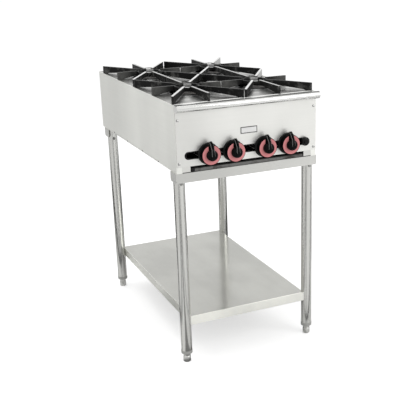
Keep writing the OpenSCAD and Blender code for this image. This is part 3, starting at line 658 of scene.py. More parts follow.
@dataclass(frozen=True)
class Galvanised:
    """Zinc-coated sheet with its crystal flowers.

    Args:
        name: the material's name.
        tone: reflected colour.
    """

    name: str
    tone: Colour

    def make(self) -> bpy.types.Material:
        """Builds the finish.

        Returns:
            The material.
        """
        s = Shader(self.name)
        flower = s.add("ShaderNodeTexVoronoi", {}, {"Vector": s.place(), "Scale": 70.0}, "Color")
        level = s.add("ShaderNodeSeparateColor", {}, {0: flower}, 0)
        smear = s.noise(s.place((8.0,) * 3), detail=4.0)
        colour = s.mix(level * 0.5 + smear * 0.5, rgba(self.tone, 0.8), rgba(self.tone, 1.15))
        s.set(
            Base_Color=colour,
            Metallic=1.0,
            Roughness=level * 0.14 + smear * 0.12 + 0.3,
            Normal=s.bump(level, 0.00002, 0.3),
        )
        return s.material


def soften(node: str, width: float, segments: int = 2) -> None:
    """Rounds the sharp edges of a CAD node.

    Args:
        node: the CAD node.
        width: width of the rounding, in millimetres.
        segments: its number of faces across.
    """
    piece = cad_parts[node]
    weld = piece.modifiers.new("weld", "WELD")
    weld.merge_threshold = 0.00001
    edge = piece.modifiers.new("edge", "BEVEL")
    edge.width = width * MM
    edge.segments = segments
    edge.limit_method = "ANGLE"
    edge.angle_limit = math.radians(38)
    edge.use_clamp_overlap = True


def paint(material: bpy.types.Material, *nodes: str) -> None:
    """Gives CAD nodes a finish.

    Args:
        material: the finish.
        nodes: the nodes' names.
    """
    for node in nodes:
        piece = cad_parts[node]
        for slot in piece.material_slots:
            slot.material = material


def centre(node: str) -> Vector:
    """Middle of a CAD node's box."""
    low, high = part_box(node)
    return (low + high) / 2


def slant_of(grate: str) -> tuple[float, float]:
    """Sine and cosine of the turn of a grate's slanting arms from Y; they end at its corners."""
    low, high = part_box(grate)
    return tuple(Vector((high.x - low.x, high.y - low.y)).normalized())


def settle(
    name: str,
    mesh: bmesh.types.BMesh,
    material: bpy.types.Material,
    body: str,
    smooth: float = 30.0,
) -> bpy.types.Object:
    """Turns a bmesh in the shared frame into a piece of the object.

    Args:
        name: the piece's name.
        mesh: its shape; freed here.
        material: its finish.
        body: the CAD body it rides on.
        smooth: largest angle between faces that is shaded smooth, in degrees.

    Returns:
        The new object.
    """
    bmesh.ops.remove_doubles(mesh, verts=mesh.verts, dist=0.000002)
    bmesh.ops.recalc_face_normals(mesh, faces=mesh.faces)
    data = bpy.data.meshes.new(name)
    mesh.to_mesh(data)
    mesh.free()
    data.materials.append(material)
    data.shade_smooth()
    data.set_sharp_from_angle(angle=math.radians(smooth))
    piece = bpy.data.objects.new(name, data)
    bpy.context.scene.collection.objects.link(piece)
    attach(piece, body)
    LOG.info("piece %s: %d faces", name, len(data.polygons))
    return piece


def turned(mesh: bmesh.types.BMesh, profile: Sequence[tuple[float, float]], steps: int = 64) -> None:
    """Spins a profile about +Z into the bmesh.

    Args:
        mesh: the bmesh that gets the shape.
        profile: points as radius and height, in millimetres.
        steps: number of faces round the axis.
    """
    points = [mesh.verts.new((radius * MM, 0.0, height * MM)) for radius, height in profile]
    edges = [mesh.edges.new(pair) for pair in zip(points, points[1:])]
    bmesh.ops.spin(
        mesh,
        geom=points + edges,
        cent=(0, 0, 0),
        axis=(0, 0, 1),
        angle=math.tau,
        steps=steps,
        use_merge=True,
    )
    bmesh.ops.remove_doubles(mesh, verts=mesh.verts, dist=0.000002)


def face_front(mesh: bmesh.types.BMesh, spot: Vector, turn: float = 0.0) -> None:
    """Turns a shape's axis from +Z to the front, with its +Y up, and moves it to its place.

    Args:
        mesh: the shape.
        spot: place of its origin, in metres.
        turn: turn about the new axis, in radians.
    """
    bmesh.ops.rotate(mesh, matrix=Matrix.Rotation(math.pi / 2, 3, "X"), verts=mesh.verts)
    bmesh.ops.rotate(mesh, matrix=Matrix.Rotation(turn, 3, "Y"), verts=mesh.verts)
    bmesh.ops.translate(mesh, vec=spot, verts=mesh.verts)


def as_object(mesh: bmesh.types.BMesh, name: str) -> bpy.types.Object:
    """Makes a bare object for a modifier to work on.

    Args:
        mesh: its shape; freed here.
        name: its name.

    Returns:
        The object, linked to no collection.
    """
    bmesh.ops.recalc_face_normals(mesh, faces=mesh.faces)
    data = bpy.data.meshes.new(name)
    mesh.to_mesh(data)
    mesh.free()
    return bpy.data.objects.new(name, data)


def carve(body: bmesh.types.BMesh, tool: bmesh.types.BMesh) -> bmesh.types.BMesh:
    """Cuts one shape out of another.

    Args:
        body: what is cut; freed here.
        tool: what is taken away; freed here.

    Returns:
        The body less the tool.
    """
    solid, cutter = as_object(body, "carve_solid"), as_object(tool, "carve_tool")
    for thing in (solid, cutter):
        bpy.context.scene.collection.objects.link(thing)
    cut = solid.modifiers.new("cut", "BOOLEAN")
    cut.operation = "DIFFERENCE"
    cut.solver = "EXACT"
    cut.use_self = True
    cut.object = cutter
    bpy.context.view_layer.update()
    result = bmesh.new()
    result.from_mesh(solid.evaluated_get(bpy.context.evaluated_depsgraph_get()).data)
    for thing in (solid, cutter):
        bpy.data.objects.remove(thing)
    return result


def join(whole: bmesh.types.BMesh, part: bmesh.types.BMesh) -> None:
    """Adds a part to the whole.

    Args:
        whole: the bmesh that gets the part.
        part: what is added; freed here.
    """
    data = bpy.data.meshes.new("join")
    part.to_mesh(data)
    part.free()
    whole.from_mesh(data)
    bpy.data.meshes.remove(data)


@dataclass
class Studio:
    """Pale floor, soft lights, dark strips on the floor and the camera.

    Args:
        eye: the camera's place.
        heading: turn of its view to the right of +Y, in degrees.
        tilt: how far it looks down, in degrees.
        roll: its roll, in degrees.
        lens: focal length for a 36 mm sensor, in millimetres.
        shift: shift of the image to the side and up, as the photograph is cut off centre.
        strips: turn in degrees, half width at 1 m and tone of the dark strips from each foot.
        reach: where the strips start and end, in metres from the foot.
    """

    eye: tuple[float, float, float] = (-1.11379, -2.78863, 1.37720)
    heading: float = 25.534
    tilt: float = 18.051
    roll: float = -1.008
    lens: float = 69.890
    shift: tuple[float, float] = (-0.1073, 0.0012)
    strips: tuple[tuple[float, float, float], ...] = (
        (-100.0, 0.088, 0.01),
        (-4.0, 0.08, 0.30),
        (96.0, 0.056, 0.05),
        (160.0, 0.16, 0.05),
    )
    reach: tuple[float, float] = (0.05, 2.4)

    def build(self) -> None:
        """Makes the whole studio."""
        scene = bpy.context.scene
        scene.view_settings.view_transform = "Standard"
        self._camera(scene)
        self._sky(scene)
        self._floor()
        self._lights()
        self._cards()

    def _camera(self, scene: bpy.types.Scene) -> None:
        """Sets the camera at the photo's angle.

        Args:
            scene: the scene that gets it.
        """
        a, e, r = (math.radians(v) for v in (self.heading, self.tilt, self.roll))
        ahead = Vector((math.sin(a) * math.cos(e), math.cos(a) * math.cos(e), -math.sin(e)))
        right = Vector((math.cos(a), -math.sin(a), 0.0))
        up = right.cross(ahead)
        side = right * math.cos(r) + up * math.sin(r)
        top = up * math.cos(r) - right * math.sin(r)
        turn = Matrix((side, top, -ahead)).transposed().to_4x4()
        data = bpy.data.cameras.new("camera")
        data.lens = self.lens
        data.sensor_width = 36.0
        data.shift_x, data.shift_y = self.shift
        data.clip_end = 100.0
        camera = bpy.data.objects.new("camera", data)
        camera.matrix_world = Matrix.Translation(self.eye) @ turn
        scene.collection.objects.link(camera)
        scene.camera = camera

    @staticmethod
    def _sky(scene: bpy.types.Scene) -> None:
        """Makes the surroundings white for the eye and for gloss, and a plain level for the rest.

        Args:
            scene: the scene that gets them.
        """
        scene.world = bpy.data.worlds.new("surroundings")
        sky = Nodes(scene.world)
        rays = ("Is Camera Ray", "Is Glossy Ray", "Is Transmission Ray")
        eye, gloss, glass = (sky.add("ShaderNodeLightPath", out=ray) for ray in rays)
        seen = eye.most(gloss.most(glass))
        level = sky.add("ShaderNodeMapRange", {}, {"Value": seen, "To Min": 0.62, "To Max": 1.0})
        light = sky.add("ShaderNodeBackground", {}, {"Color": rgba((1.0, 1.0, 1.0)), "Strength": level})
        end = sky.tree.nodes.new("ShaderNodeOutputWorld")
        sky.feed(end.inputs["Surface"], light)

    @staticmethod
    def _floor() -> None:
        """Lays the pale floor that keeps the stove's shadow."""
        s = Shader("floor_white")
        seen = s.add("ShaderNodeLightPath", out="Is Camera Ray")
        s.set(
            Base_Color=rgba((0.86, 0.86, 0.86)),
            Roughness=0.9,
            Specular_IOR_Level=0.0,
            Emission_Color=s.mix(seen, rgba((0.12, 0.12, 0.12)), rgba((0.5, 0.5, 0.5))),
            Emission_Strength=1.0,
        )
        bm = bmesh.new()
        bmesh.ops.create_grid(bm, x_segments=1, y_segments=1, size=60.0)
        Studio._lay("floor", bm, s.material)

    @staticmethod
    def _lay(name: str, mesh: bmesh.types.BMesh, material: bpy.types.Material) -> bpy.types.Object:
        """Puts a bmesh into the studio.

        Args:
            name: the object's name.
            mesh: its shape; freed here.
            material: its finish.

        Returns:
            The new object, which isn't part of the stove.
        """
        thing = as_object(mesh, name)
        thing.data.materials.append(material)
        bpy.context.scene.collection.objects.link(thing)
        return thing

    @staticmethod
    def _lights() -> None:
        """Hangs two large soft boxes: in front to the right, and above."""
        for name, spot, aim, size, power in (
            ("softbox_front", (1.9, -3.0, 2.2), (0.0, 0.0, 0.6), 2.4, 42.0),
            ("softbox_top", (-0.6, 0.6, 3.2), (0.0, 0.0, 0.6), 2.6, 38.0),
        ):
            data = bpy.data.lights.new(name, "AREA")
            data.shape = "SQUARE"
            data.size = size
            data.energy = power
            light = bpy.data.objects.new(name, data)
            light.location = spot
            light.rotation_mode = "QUATERNION"
            light.rotation_quaternion = (Vector(aim) - Vector(spot)).to_track_quat("-Z", "Y")
            bpy.context.scene.collection.objects.link(light)

    def _way(self, turn: float) -> Vector:
        """Finds a level direction.

        Args:
            turn: its turn from the camera's side towards the image's right, in degrees.

        Returns:
            An arrow of length 1.
        """
        a, t = math.radians(self.heading), math.radians(turn)
        back = Vector((-math.sin(a), -math.cos(a), 0.0))
        right = Vector((math.cos(a), -math.sin(a), 0.0))
        return back * math.cos(t) + right * math.sin(t)

    def _cards(self) -> None:
        """Lays dark strips on the floor that only gloss sees; they draw the bands on the legs."""
        feet = [centre(f"foot_{side}") for side in SIDES]
        near, far = self.reach
        for turn, spread, tone in self.strips:
            s = Shader(f"card_{turn:.0f}")
            s.set(Base_Color=rgba((tone,) * 3), Roughness=1.0, Specular_IOR_Level=0.0)
            way = self._way(turn)
            across = Vector((way.y, -way.x, 0.0)) * spread
            left, right = way - across, way + across
            # Strips of other widths cross, so each width has its own height over the floor
            lift = 0.001 + spread * 0.00125
            bm = bmesh.new()
            for foot in feet:
                start = Vector((foot.x, foot.y, lift))
                corners = (left * near, right * near, right * far, left * far)
                bm.faces.new([bm.verts.new(start + corner) for corner in corners])
            card = self._lay(f"card_{turn:.0f}", bm, s.material)
            card.visible_camera = False
            card.visible_diffuse = False
            card.visible_shadow = False


@dataclass
class Stand:
    """Legs, rails, undershelf, collars and feet.

    Args:
        edge: rounding of the sheets' edges, in millimetres.
        small_edge: rounding of the small pieces' edges.
    """

    edge: float = 0.5
    small_edge: float = 0.3

    def dress(self) -> None:
        """Finishes the stand's CAD nodes."""
        legs = [f"leg_{side}" for side in SIDES]
        steel = BrushedSteel("leg_steel", (0.64, 0.64, 0.615), 0.2, Grain.UPRIGHT, (60.0, 60.0, 1.2), 0.08)
        paint(steel.make(), *legs)
        low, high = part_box("stand_rail_front")
        # Painted shade: the stand's rails darken towards their left ends
        rail = BrushedSteel("rail_steel", (0.63, 0.63, 0.605), 0.3, Grain.ACROSS, (3.0, 8.0, 8.0),
                            fades=(Fade("X", low.x, high.x, 0.88, 1.02),))
        paint(rail.make(), "stand_rail_front", "stand_rail_rear")
        paint(self._shelf(), "undershelf")
        paint(Galvanised("clamp_zinc", (0.5, 0.5, 0.5)).make(), "shelf_clamps")
        paint(Tarnished("screw_zinc", (0.3, 0.3, 0.29), (0.12, 0.12, 0.12), 0.4).make(), "stand_screws")
        paint(Moulded("collar_grey", (0.34, 0.34, 0.325), 0.35).make(), "leg_collars")
        feet = [leg.replace("leg", "foot") for leg in legs]
        paint(Tarnished("foot_plating", (0.62, 0.62, 0.6), (0.4, 0.4, 0.38), 0.34, 60.0).make(), *feet)
        for node in ["stand_rail_front", "stand_rail_rear", "undershelf"]:
            soften(node, self.edge, 3)
        for node in feet + ["leg_collars", "shelf_clamps", "stand_screws"]:
            soften(node, self.small_edge)
        LOG.info("stand dressed")

    @staticmethod
    def _shelf() -> bpy.types.Material:
        """Builds the undershelf's finish: its four folded sides carry painted light, so they are paler than
        its top, and they are also duller.

        Returns:
            The material.
        """
        low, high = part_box("undershelf")
        skin, end = 0.0008, 0.0016
        left = ("X", low.x + skin, low.x + end)
        right = ("X", high.x - skin, high.x - end)
        front = ("Y", low.y + skin, low.y + end)
        rear = ("Y", high.y - skin, high.y - end)
        return BrushedSteel(
            "shelf_steel", (0.50, 0.50, 0.47), 0.17, Grain.LENGTHWAYS, (7.0, 4.0, 5.0), 0.12,
            # Painted light: the front fold and the other three folded sides are lighter than the top
            fades=(
                Fade("Y", low.y + 0.003, low.y + 0.005, 1.85, 1.0),
                *(Fade(*side, 1.7, 1.0) for side in (left, right, rear)),
            ),
            blurs=tuple(Fade(*side, 0.3, 0.0) for side in (left, front, right, rear)),
        ).make()


@dataclass
class Body:
    """Sheet metal of the body, the rolled rail, the deck and the tray.

    Args:
        edge: rounding of the sheets' edges, in millimetres.
    """

    edge: float = 0.35

    def dress(self) -> None:
        """Finishes the body's CAD nodes."""
        low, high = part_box("side_panel_right")
        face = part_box("front_panel")[0].y
        # Painted shade: the side panels are black on their inside faces and darken towards the rear and the
        # bottom
        steel = BrushedSteel(
            "side_steel", (0.90, 0.905, 0.86), 0.36, Grain.LENGTHWAYS, (2.0, 4.5, 1.0), 0.08,
            shaded_parts=(PaintedShade(behind=face + 0.004, between=high.x - 0.0006, below=high.z - 0.002),),
            fades=(Fade("Y", high.y - 0.45, high.y - 0.1, 1.0, 0.86), Fade("Z", low.z, high.z, 0.96, 1.02)),
        )
        paint(steel.make(), "side_panel_left", "side_panel_right")
        # Painted shade: the front panel is black behind its front face, at the back and in its holes, and
        # darker towards the left
        steel = BrushedSteel(
            "front_steel", (0.79, 0.79, 0.76), 0.4, Grain.ACROSS, (4.0, 4.0, 4.0), 0.05,
            shaded_parts=(PaintedShade(behind=face + 0.0006),),
            fades=(Fade("X", -high.x, -0.05, 0.92, 1.0),),
        )
        paint(steel.make(), "front_panel")
        # Painted shade: a dark line along the top of the rolled rail
        steel = BrushedSteel(
            "rolled_steel", (0.77, 0.77, 0.75), 0.16, Grain.ACROSS, (2.0, 9.0, 9.0), 0.04,
            shaded_parts=(PaintedShade(behind=face - 0.0245, ahead=face - 0.0165, above=high.z - 0.001, strength=0.85),),
        )
        paint(steel.make(), "front_rail")
        paint(self._deck(face, high.z), "top_deck")
        low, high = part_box("base_frame")
        # Painted shade: the base frame is black on its bottom and on its faces behind the front
        steel = BrushedSteel(
            "base_steel", (0.70, 0.70, 0.67), 0.3, Grain.ACROSS, (5.0, 5.0, 5.0), 0.05,
            shaded_parts=(PaintedShade(below=low.z + 0.0025), PaintedShade(behind=low.y + 0.0015, between=high.x - 0.002)),
        )
        paint(steel.make(), "base_frame")
        paint(Galvanised("rear_zinc", (0.6, 0.6, 0.6)).make(), "rear_panel")
        # Painted shade: the inner rails, guides and brackets get a very dark copy of the zinc
        zinc = Galvanised("inner_zinc_shaded", (0.08, 0.08, 0.08)).make()
        paint(zinc, "burner_rails", "tray_guides", "manifold_brackets")
        # The tray's dark tone is partly wear and partly painted shade; its inside, its top edge and its left
        # end are painted black as shade
        low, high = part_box("drip_tray")
        tray = Tarnished(
            "tray_metal", (0.16, 0.16, 0.155), (0.06, 0.055, 0.05), 0.4, 18.0, 0.6,
            shaded_parts=(PaintedShade(behind=low.y + 0.0015), PaintedShade(above=high.z - 0.0035), PaintedShade(left_of=low.x + 0.012)),
        )
        paint(tray.make(), "drip_tray")
        paint(Moulded("rivet_black", (0.006, 0.006, 0.006), 0.5, sheen=0.2).make(), "side_rivets")
        for node in ("front_rail", "top_deck", "base_frame", "drip_tray"):
            soften(node, self.edge, 3)
        for node in ("side_panel_left", "side_panel_right", "burner_rails"):
            soften(node, self.edge)
        LOG.info("body dressed")

    def _deck(self, face: float, top: float) -> bpy.types.Material:
        """Builds the deck's finish, laid out on the grates.

        Args:
            face: place of the front panel along Y, in metres.
            top: height of the side panels' top edge.

        Returns:
            The material.
        """
        hub = centre("grate_2")
        return DeckSteel(
            "deck_steel",
            (0.50, 0.50, 0.485),
            hub=(abs(hub.x), hub.y),
            middle=(hub.y + centre("grate_4").y) / 2,
            slant=slant_of("grate_2"),
            opening=0.067,
            lip=face + 0.027,
            skin=top - 0.0018,
        ).make()


@dataclass
class PanelScrews:
    """Pan-head screws with a cross recess at the corners of the front panel.

    Args:
        head: radius of a head, in millimetres.
        rise: height of a head, in millimetres.
        slot: width of a recess arm, in millimetres.
    """

    head: float = 4.2
    rise: float = 2.4
    slot: float = 1.1

    def build(self) -> None:
        """Makes one piece with all four screws."""
        low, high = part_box("panel_screws")
        whole = bmesh.new()
        inset = self.head * MM
        seat = low.y + self.rise * MM
        for x in (low.x + inset, high.x - inset):
            for z in (low.z + inset, high.z - inset):
                self._screw(whole, Vector((x, seat, z)))
        steel = Tarnished("screw_steel", (0.66, 0.66, 0.65), (0.45, 0.45, 0.43), 0.25, 200.0, 0.4).make()
        piece = settle("panel_screw_heads", whole, steel, "stove")
        piece.data.materials.append(Moulded("screw_shade", (0.01, 0.01, 0.01), 0.5, sheen=0.2).make())
        # Sides and recesses are dark, and the flat faces bright
        for face in piece.data.polygons:
            face.material_index = int(abs(face.normal.y) < 0.6)
        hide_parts("panel_screws")

    def _screw(self, whole: bmesh.types.BMesh, seat: Vector) -> None:
        """Adds one screw.

        Args:
            whole: the bmesh that gets the screw.
            seat: middle of the head's underside, in metres.
        """
        bm = bmesh.new()
        r, h = self.head, self.rise
        turned(bm, [
            (0, -9.5), (1.4, -9.5), (2, -8.8), (2, 0), (r, 0), (r, h * 0.35), (r - 0.5, h * 0.75),
            (r - 1.6, h), (0, h),
        ], 32)
        cut = bmesh.new()
        for turn in (0, math.pi / 2):
            arm = bmesh.ops.create_cube(cut, size=1.0)["verts"]
            bmesh.ops.scale(cut, vec=(r * 1.1 * MM, self.slot * MM, 2.4 * MM), verts=arm)
            bmesh.ops.rotate(cut, matrix=Matrix.Rotation(turn, 3, "Z"), verts=arm)
            bmesh.ops.translate(cut, vec=(0, 0, h * MM), verts=arm)
        carved = carve(bm, cut)
        # Each screw stops at a turn of its own, taken from its place
        face_front(carved, seat, 0.4 + seat.x + seat.z)
        join(whole, carved)


@dataclass
class Knobs:
    """Four black knobs: skirt, tear-drop hub with its pointer, and the printed ring.

    Args:
        skirt: radius of the skirt, in millimetres.
        depth: depth of the skirt.
        hub: radius of the hub's foot.
        rise: height of the hub over the skirt.
        reach: reach of the pointer's tip.
        tip: half width of the tip.
        rim: width of the rim round the ring.
        bore: radius of the stem's hole.
        boss: radius of the boss round the stem.
        wall: thickness of the skirt at its foot.
        waist: half width of the pointer where it leaves the hub.
    """

    skirt: float = 33.5
    depth: float = 24.0
    hub: float = 18.4
    rise: float = 16.0
    reach: float = 44.0
    tip: float = 4.2
    rim: float = 2.0
    bore: float = 4.3
    boss: float = 7.4
    wall: float = 7.0
    waist: float = 6.6

    def build(self) -> None:
        """Makes the four knobs and dresses their rings and stems."""
        black = Moulded("knob_black", (0.004, 0.004, 0.004), 0.3, 0.0, 0.00001, 0.25, 1.2).make()
        skirt = Moulded("knob_skirt", (0.003, 0.003, 0.003), 0.6, 0.0, 0.00001, 0.05, 1.2).make()
        # Painted highlight: a lighter grey on the pointer's long upper edges
        edge = Moulded("knob_edge_highlight", (0.16, 0.16, 0.155), 0.15, 0.5, 0.00001).make()
        red = Moulded("ring_red", (0.60, 0.215, 0.22), 0.34, 0.1, 0.00001, 0.3).make()
        paint(red, *[f"knob_ring_{i}" for i in NUMBERS])
        steel = Tarnished("stem_steel", (0.6, 0.6, 0.6), (0.4, 0.4, 0.4), 0.3).make()
        paint(steel, *[f"valve_stem_{i}" for i in NUMBERS])
        for i in NUMBERS:
            self._knob(f"knob_{i}", (black, edge, skirt))

    def _knob(self, node: str, finishes: Sequence[bpy.types.Material]) -> None:
        """Makes one knob in place of its CAD node.

        Args:
            node: the node's name, which is its body's name too.
            finishes: of the hub, of the painted highlight on the pointer's long edges and of the skirt.
        """
        low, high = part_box(node)
        spot = Vector(((low.x + high.x) / 2, high.y, low.z + self.skirt * MM))
        r, d, ring, inner = self.skirt, self.depth, self.skirt - self.rim, self.skirt - self.wall
        whole = bmesh.new()
        turned(whole, [
            (self.bore, d - 4), (self.bore, 2), (self.boss, 2), (self.boss, d - 8), (inner, d - 8),
            (inner, 0), (r - 5.4, 0), (r - 4.6, 0.5), (r - 3, 3), (r - 1.1, d - 8), (r - 0.1, d - 4),
            (r, d - 2.6), (r - 0.25, d - 1.2), (r - 0.8, d - 0.35), (r - 1.6, d), (ring, d), (ring, d - 1.02),
            (self.hub - 2, d - 1.02), (0, d - 1.02),
        ])
        join(whole, self._pointer())
        face_front(whole, spot)
        piece = settle(f"{node}_moulding", whole, finishes[0], node, 32.0)
        for finish in finishes[1:]:
            piece.data.materials.append(finish)
        # The skirt and its rim are duller than the hub
        for face in piece.data.polygons:
            out = face.center - spot
            if face.material_index == 0 and Vector((out.x, out.z)).length > (ring - 5) * MM:
                face.material_index = 2
        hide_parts(node)

    def _pointer(self) -> bmesh.types.BMesh:
        """Builds the hub and the pointer, pointing along +Y, with the axis along +Z.

        Returns:
            A bmesh whose long upper edges of the pointer have material 1, the painted highlight.
        """
        d, top, hub_r, reach = self.depth, self.depth + self.rise, self.hub, self.reach
        hub = bmesh.new()
        turned(hub, [
            (0, d - 1.5), (hub_r, d - 1.5), (hub_r - 0.5, top - 6.5), (hub_r - 1.6, top - 3.6),
            (hub_r - 4.2, top - 1.3), (hub_r - 8, top - 0.2), (0, top),
        ])
        bar = bmesh.new()
        outline = [
            (-hub_r + 5, d + 0.4), (-hub_r + 4.4, top - 3), (-hub_r + 8, top + 1.2), (0, top + 2.8),
            (hub_r + 3, top - 0.4), (reach - 4, d + 0.8), (reach - 0.2, d - 7), (reach - 1.2, d - 9.6),
            (self.skirt + 1.2, d - 7.8), (self.skirt - 2.6, d - 2), (hub_r - 4, d - 2),
        ]
        sides = []
        for sign in (-1, 1):
            ring = []
            for y, z in outline:
                run = min(max((y + hub_r) / (reach + hub_r), 0.0), 1.0)
                half = self.waist + (self.tip - self.waist) * run + (0.9 if z < top - 8 else 0.0)
                ring.append(bar.verts.new((sign * half * MM, y * MM, z * MM)))
            sides.append(ring)
            bar.faces.new(ring if sign > 0 else ring[::-1])
        left, right = sides
        for i in range(len(outline)):
            j = (i + 1) % len(outline)
            bar.faces.new((left[i], left[j], right[j], right[i]))
        bmesh.ops.recalc_face_normals(bar, faces=bar.faces)
        bmesh.ops.bevel(
            bar,
            geom=[edge for edge in bar.edges if self._is_crest(edge)],
            offset=1.1 * MM,
            segments=2,
            profile=0.5,
            affect="EDGES",
            material=1,
            clamp_overlap=True,
        )
        join(hub, bar)
        return hub

    def _is_crest(self, edge: bmesh.types.BMEdge) -> bool:
        """Tells whether an edge of the pointer is one of its long upper edges.

        Args:
            edge: the edge.

        Returns:
            True where it runs along the pointer, ahead of the hub's rear and over the skirt's front.
        """
        first, last = (point.co / MM for point in edge.verts)
        along = abs(first.x - last.x) < 2 and (first - last).length > 4
        ahead = min(first.y, last.y) > -8
        over = max(first.z, last.z) > self.depth + 0.5 and min(first.z, last.z) > self.depth - 7.5
        return along and ahead and over and abs(edge.calc_face_angle()) > 1.0


@dataclass
class Bezels:
    """Black dished bezels on the front panel behind the knobs.

    Args:
        base: radius at the panel, in millimetres.
        lip: radius at the front.
        bore: radius of the hole.
        thick: distance from the panel to the front.
    """

    base: float = 36.2
    lip: float = 34.6
    bore: float = 9.0
    thick: float = 4.4

    def build(self) -> None:
        """Makes the four bezels as one piece."""
        whole = bmesh.new()
        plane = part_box("front_panel")[0].y
        lip, t = self.lip, self.thick
        for i in NUMBERS:
            stem = centre(f"valve_stem_{i}")
            one = bmesh.new()
            turned(one, [
                (self.bore, 0), (self.base, 0), (self.base, 0.6), (lip + 0.6, t - 0.6), (lip, t - 0.1),
                (lip - 1, t), (self.bore, t), (self.bore, 0),
            ])
            face_front(one, Vector((stem.x, plane, stem.z)))
            join(whole, one)
        black = Moulded("bezel_black", (0.014, 0.014, 0.014), 0.45, 0.0, 0.00001, 0.35, 1.3).make()
        settle("knob_bezels", whole, black, "stove")


@dataclass
class SlotEdging:
    """Black rubber edging round the slot of the valve stems.

    Args:
        length: length of the edging.
        height: height of the edging.
        slot_length: length of the slot.
        slot_height: height of the slot.
        thick: thickness in front of the panel; all in millimetres.
    """

    length: float = 452.0
    height: float = 26.0
    slot_length: float = 440.0
    slot_height: float = 20.0
    thick: float = 0.5

    @staticmethod
    def _loop(length: float, height: float, steps: int = 20) -> list[tuple[float, float]]:
        """Outlines a long hole with round ends.

        Args:
            length: its length with the ends.
            height: its height.
            steps: number of edges round each end.

        Returns:
            Points across and up from its middle.
        """
        r, half = height / 2, length / 2 - height / 2
        points = []
        for sign in (1, -1):
            for i in range(steps + 1):
                turn = math.pi * (i / steps - 0.5)
                points.append((sign * (half + r * math.cos(turn)), sign * r * math.sin(turn)))
        return points

    def build(self) -> None:
        """Makes the flat ring: a band between two outlines, given its thickness forwards."""
        seat = Vector((0.0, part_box("front_panel")[0].y, centre("valve_stem_1").z))
        bm = bmesh.new()
        for size in ((self.length, self.height), (self.slot_length, self.slot_height)):
            ring = [bm.verts.new(Vector((x, 0.0, z)) * MM + seat) for x, z in self._loop(*size)]
            for pair in zip(ring, ring[1:] + ring[:1]):
                bm.edges.new(pair)
        bmesh.ops.bridge_loops(bm, edges=bm.edges[:])
        front = bmesh.ops.extrude_face_region(bm, geom=bm.faces[:], use_keep_orig=True)["geom"]
        points = [part for part in front if isinstance(part, bmesh.types.BMVert)]
        bmesh.ops.translate(bm, vec=(0.0, -self.thick * MM, 0.0), verts=points)
        rubber = Moulded("rubber_black", (0.006, 0.006, 0.006), 0.5, sheen=0.2).make()
        settle("slot_edging", bm, rubber, "stove")


@dataclass
class LabelPlate:
    """Bare plate riveted to the front panel: dark border and bright field.

    Args:
        width: across, in millimetres.
        height: upright, in millimetres.
        left: distance of its left edge from the body's left side.
        bottom: height of its lower edge over the floor.
        thick: thickness of the border.
        border: width of the border.
        corner: radius of the corners.
    """

    width: float = 60.0
    height: float = 22.0
    left: float = 227.0
    bottom: float = 791.0
    thick: float = 0.8
    border: float = 2.6
    corner: float = 1.2

    def build(self) -> None:
        """Makes the border and the field."""
        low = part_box("side_panel_left")[0]
        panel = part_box("front_panel")[0]
        across, up = self.left + self.width / 2, self.bottom + self.height / 2
        middle = Vector((low.x + across * MM, panel.y, up * MM))
        black = Moulded("label_border", (0.03, 0.03, 0.03), 0.35).make()
        silver = BrushedSteel("label_field", (0.8, 0.8, 0.79), 0.3, Grain.ACROSS, (30.0,) * 3, 0.03).make()
        for name, inset, front, finish, slot in (
            ("label_border", 0.0, self.thick, black, "cap_black"),
            ("label_field", self.border, self.thick + 0.15, silver, "bright_stainless"),
        ):
            bm = bmesh.new()
            bmesh.ops.create_cube(bm, size=1.0)
            size = ((self.width - 2 * inset) * MM, front * MM, (self.height - 2 * inset) * MM)
            bmesh.ops.scale(bm, vec=size, verts=bm.verts)
            corners = [e for e in bm.edges if abs((e.verts[0].co - e.verts[1].co).y) > front * MM / 2]
            bmesh.ops.bevel(
                bm,
                geom=corners,
                offset=self.corner * MM,
                segments=4,
                profile=0.5,
                affect="EDGES",
                material=-1,
            )
            bmesh.ops.translate(bm, vec=middle - Vector((0, front * MM / 2, 0)), verts=bm.verts)
            settle(name, bm, finish, "stove")


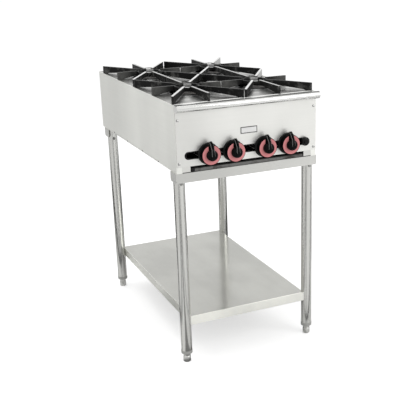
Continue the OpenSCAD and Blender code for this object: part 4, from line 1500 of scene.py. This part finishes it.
@dataclass
class CookTop:
    """Cast grates and burners.

    Args:
        edge: rounding of the grates' edges, in millimetres.
    """

    edge: float = 0.7

    def dress(self) -> None:
        """Finishes the cast pieces and the air shutters."""
        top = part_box("grate_1")[1].z
        burner = CastIron("burner_iron", (0.035, 0.032, 0.03), (0.09, 0.08, 0.07)).make()
        zinc = Galvanised("shutter_zinc", (0.4, 0.4, 0.4)).make()
        for i in NUMBERS:
            hub = centre(f"grate_{i}")
            iron = GrateIron(
                f"grate_iron_{i}",
                (0.008, 0.008, 0.008),
                (0.11, 0.11, 0.105),
                sheen=0.12,
                hub=(hub.x, hub.y),
                top=top,
                slant=slant_of("grate_1"),
                # The painted reflection on an arm's face is for the right-hand grates only
                face_reflection=0.7 if hub.x > 0 else 0.0,
            )
            paint(iron.make(), f"grate_{i}")
            soften(f"grate_{i}", self.edge)
            paint(burner, f"burner_{i}")
            paint(zinc, f"air_shutter_{i}")
        LOG.info("cook top dressed")


@dataclass
class GasTrain:
    """Manifold, valves, supply and the black cap in the slot.

    Args:
        edge: rounding of the turned pieces' edges, in millimetres.
    """

    edge: float = 0.4

    def dress(self) -> None:
        """Finishes the gas train's CAD nodes."""
        lacquer = Moulded("pipe_lacquer", (0.03, 0.03, 0.03), 0.4).make()
        paint(lacquer, "manifold_pipe", "supply_elbow", "supply_pipe", "gas_port_elbow")
        brass = Tarnished("brass", (0.62, 0.45, 0.2), (0.35, 0.24, 0.1), 0.3, 90.0).make()
        paint(brass, "gas_inlet", "gas_valves", "orifice_hoods")
        paint(Moulded("cap_black", (0.005, 0.005, 0.005), 0.22, bend=1.25).make(), "gas_port_cap")
        for node in ("gas_port_cap", "gas_inlet", "gas_valves", "orifice_hoods"):
            soften(node, self.edge)
        LOG.info("gas train dressed")


def main() -> None:
    """Builds the stove's looks and the studio round it."""
    logging.basicConfig(level=logging.INFO, format="%(name)s: %(message)s")
    Studio().build()
    Stand().dress()
    Body().dress()
    CookTop().dress()
    GasTrain().dress()
    Knobs().build()
    PanelScrews().build()
    SlotEdging().build()
    Bezels().build()
    LabelPlate().build()


if __name__ == "__main__":
    main()
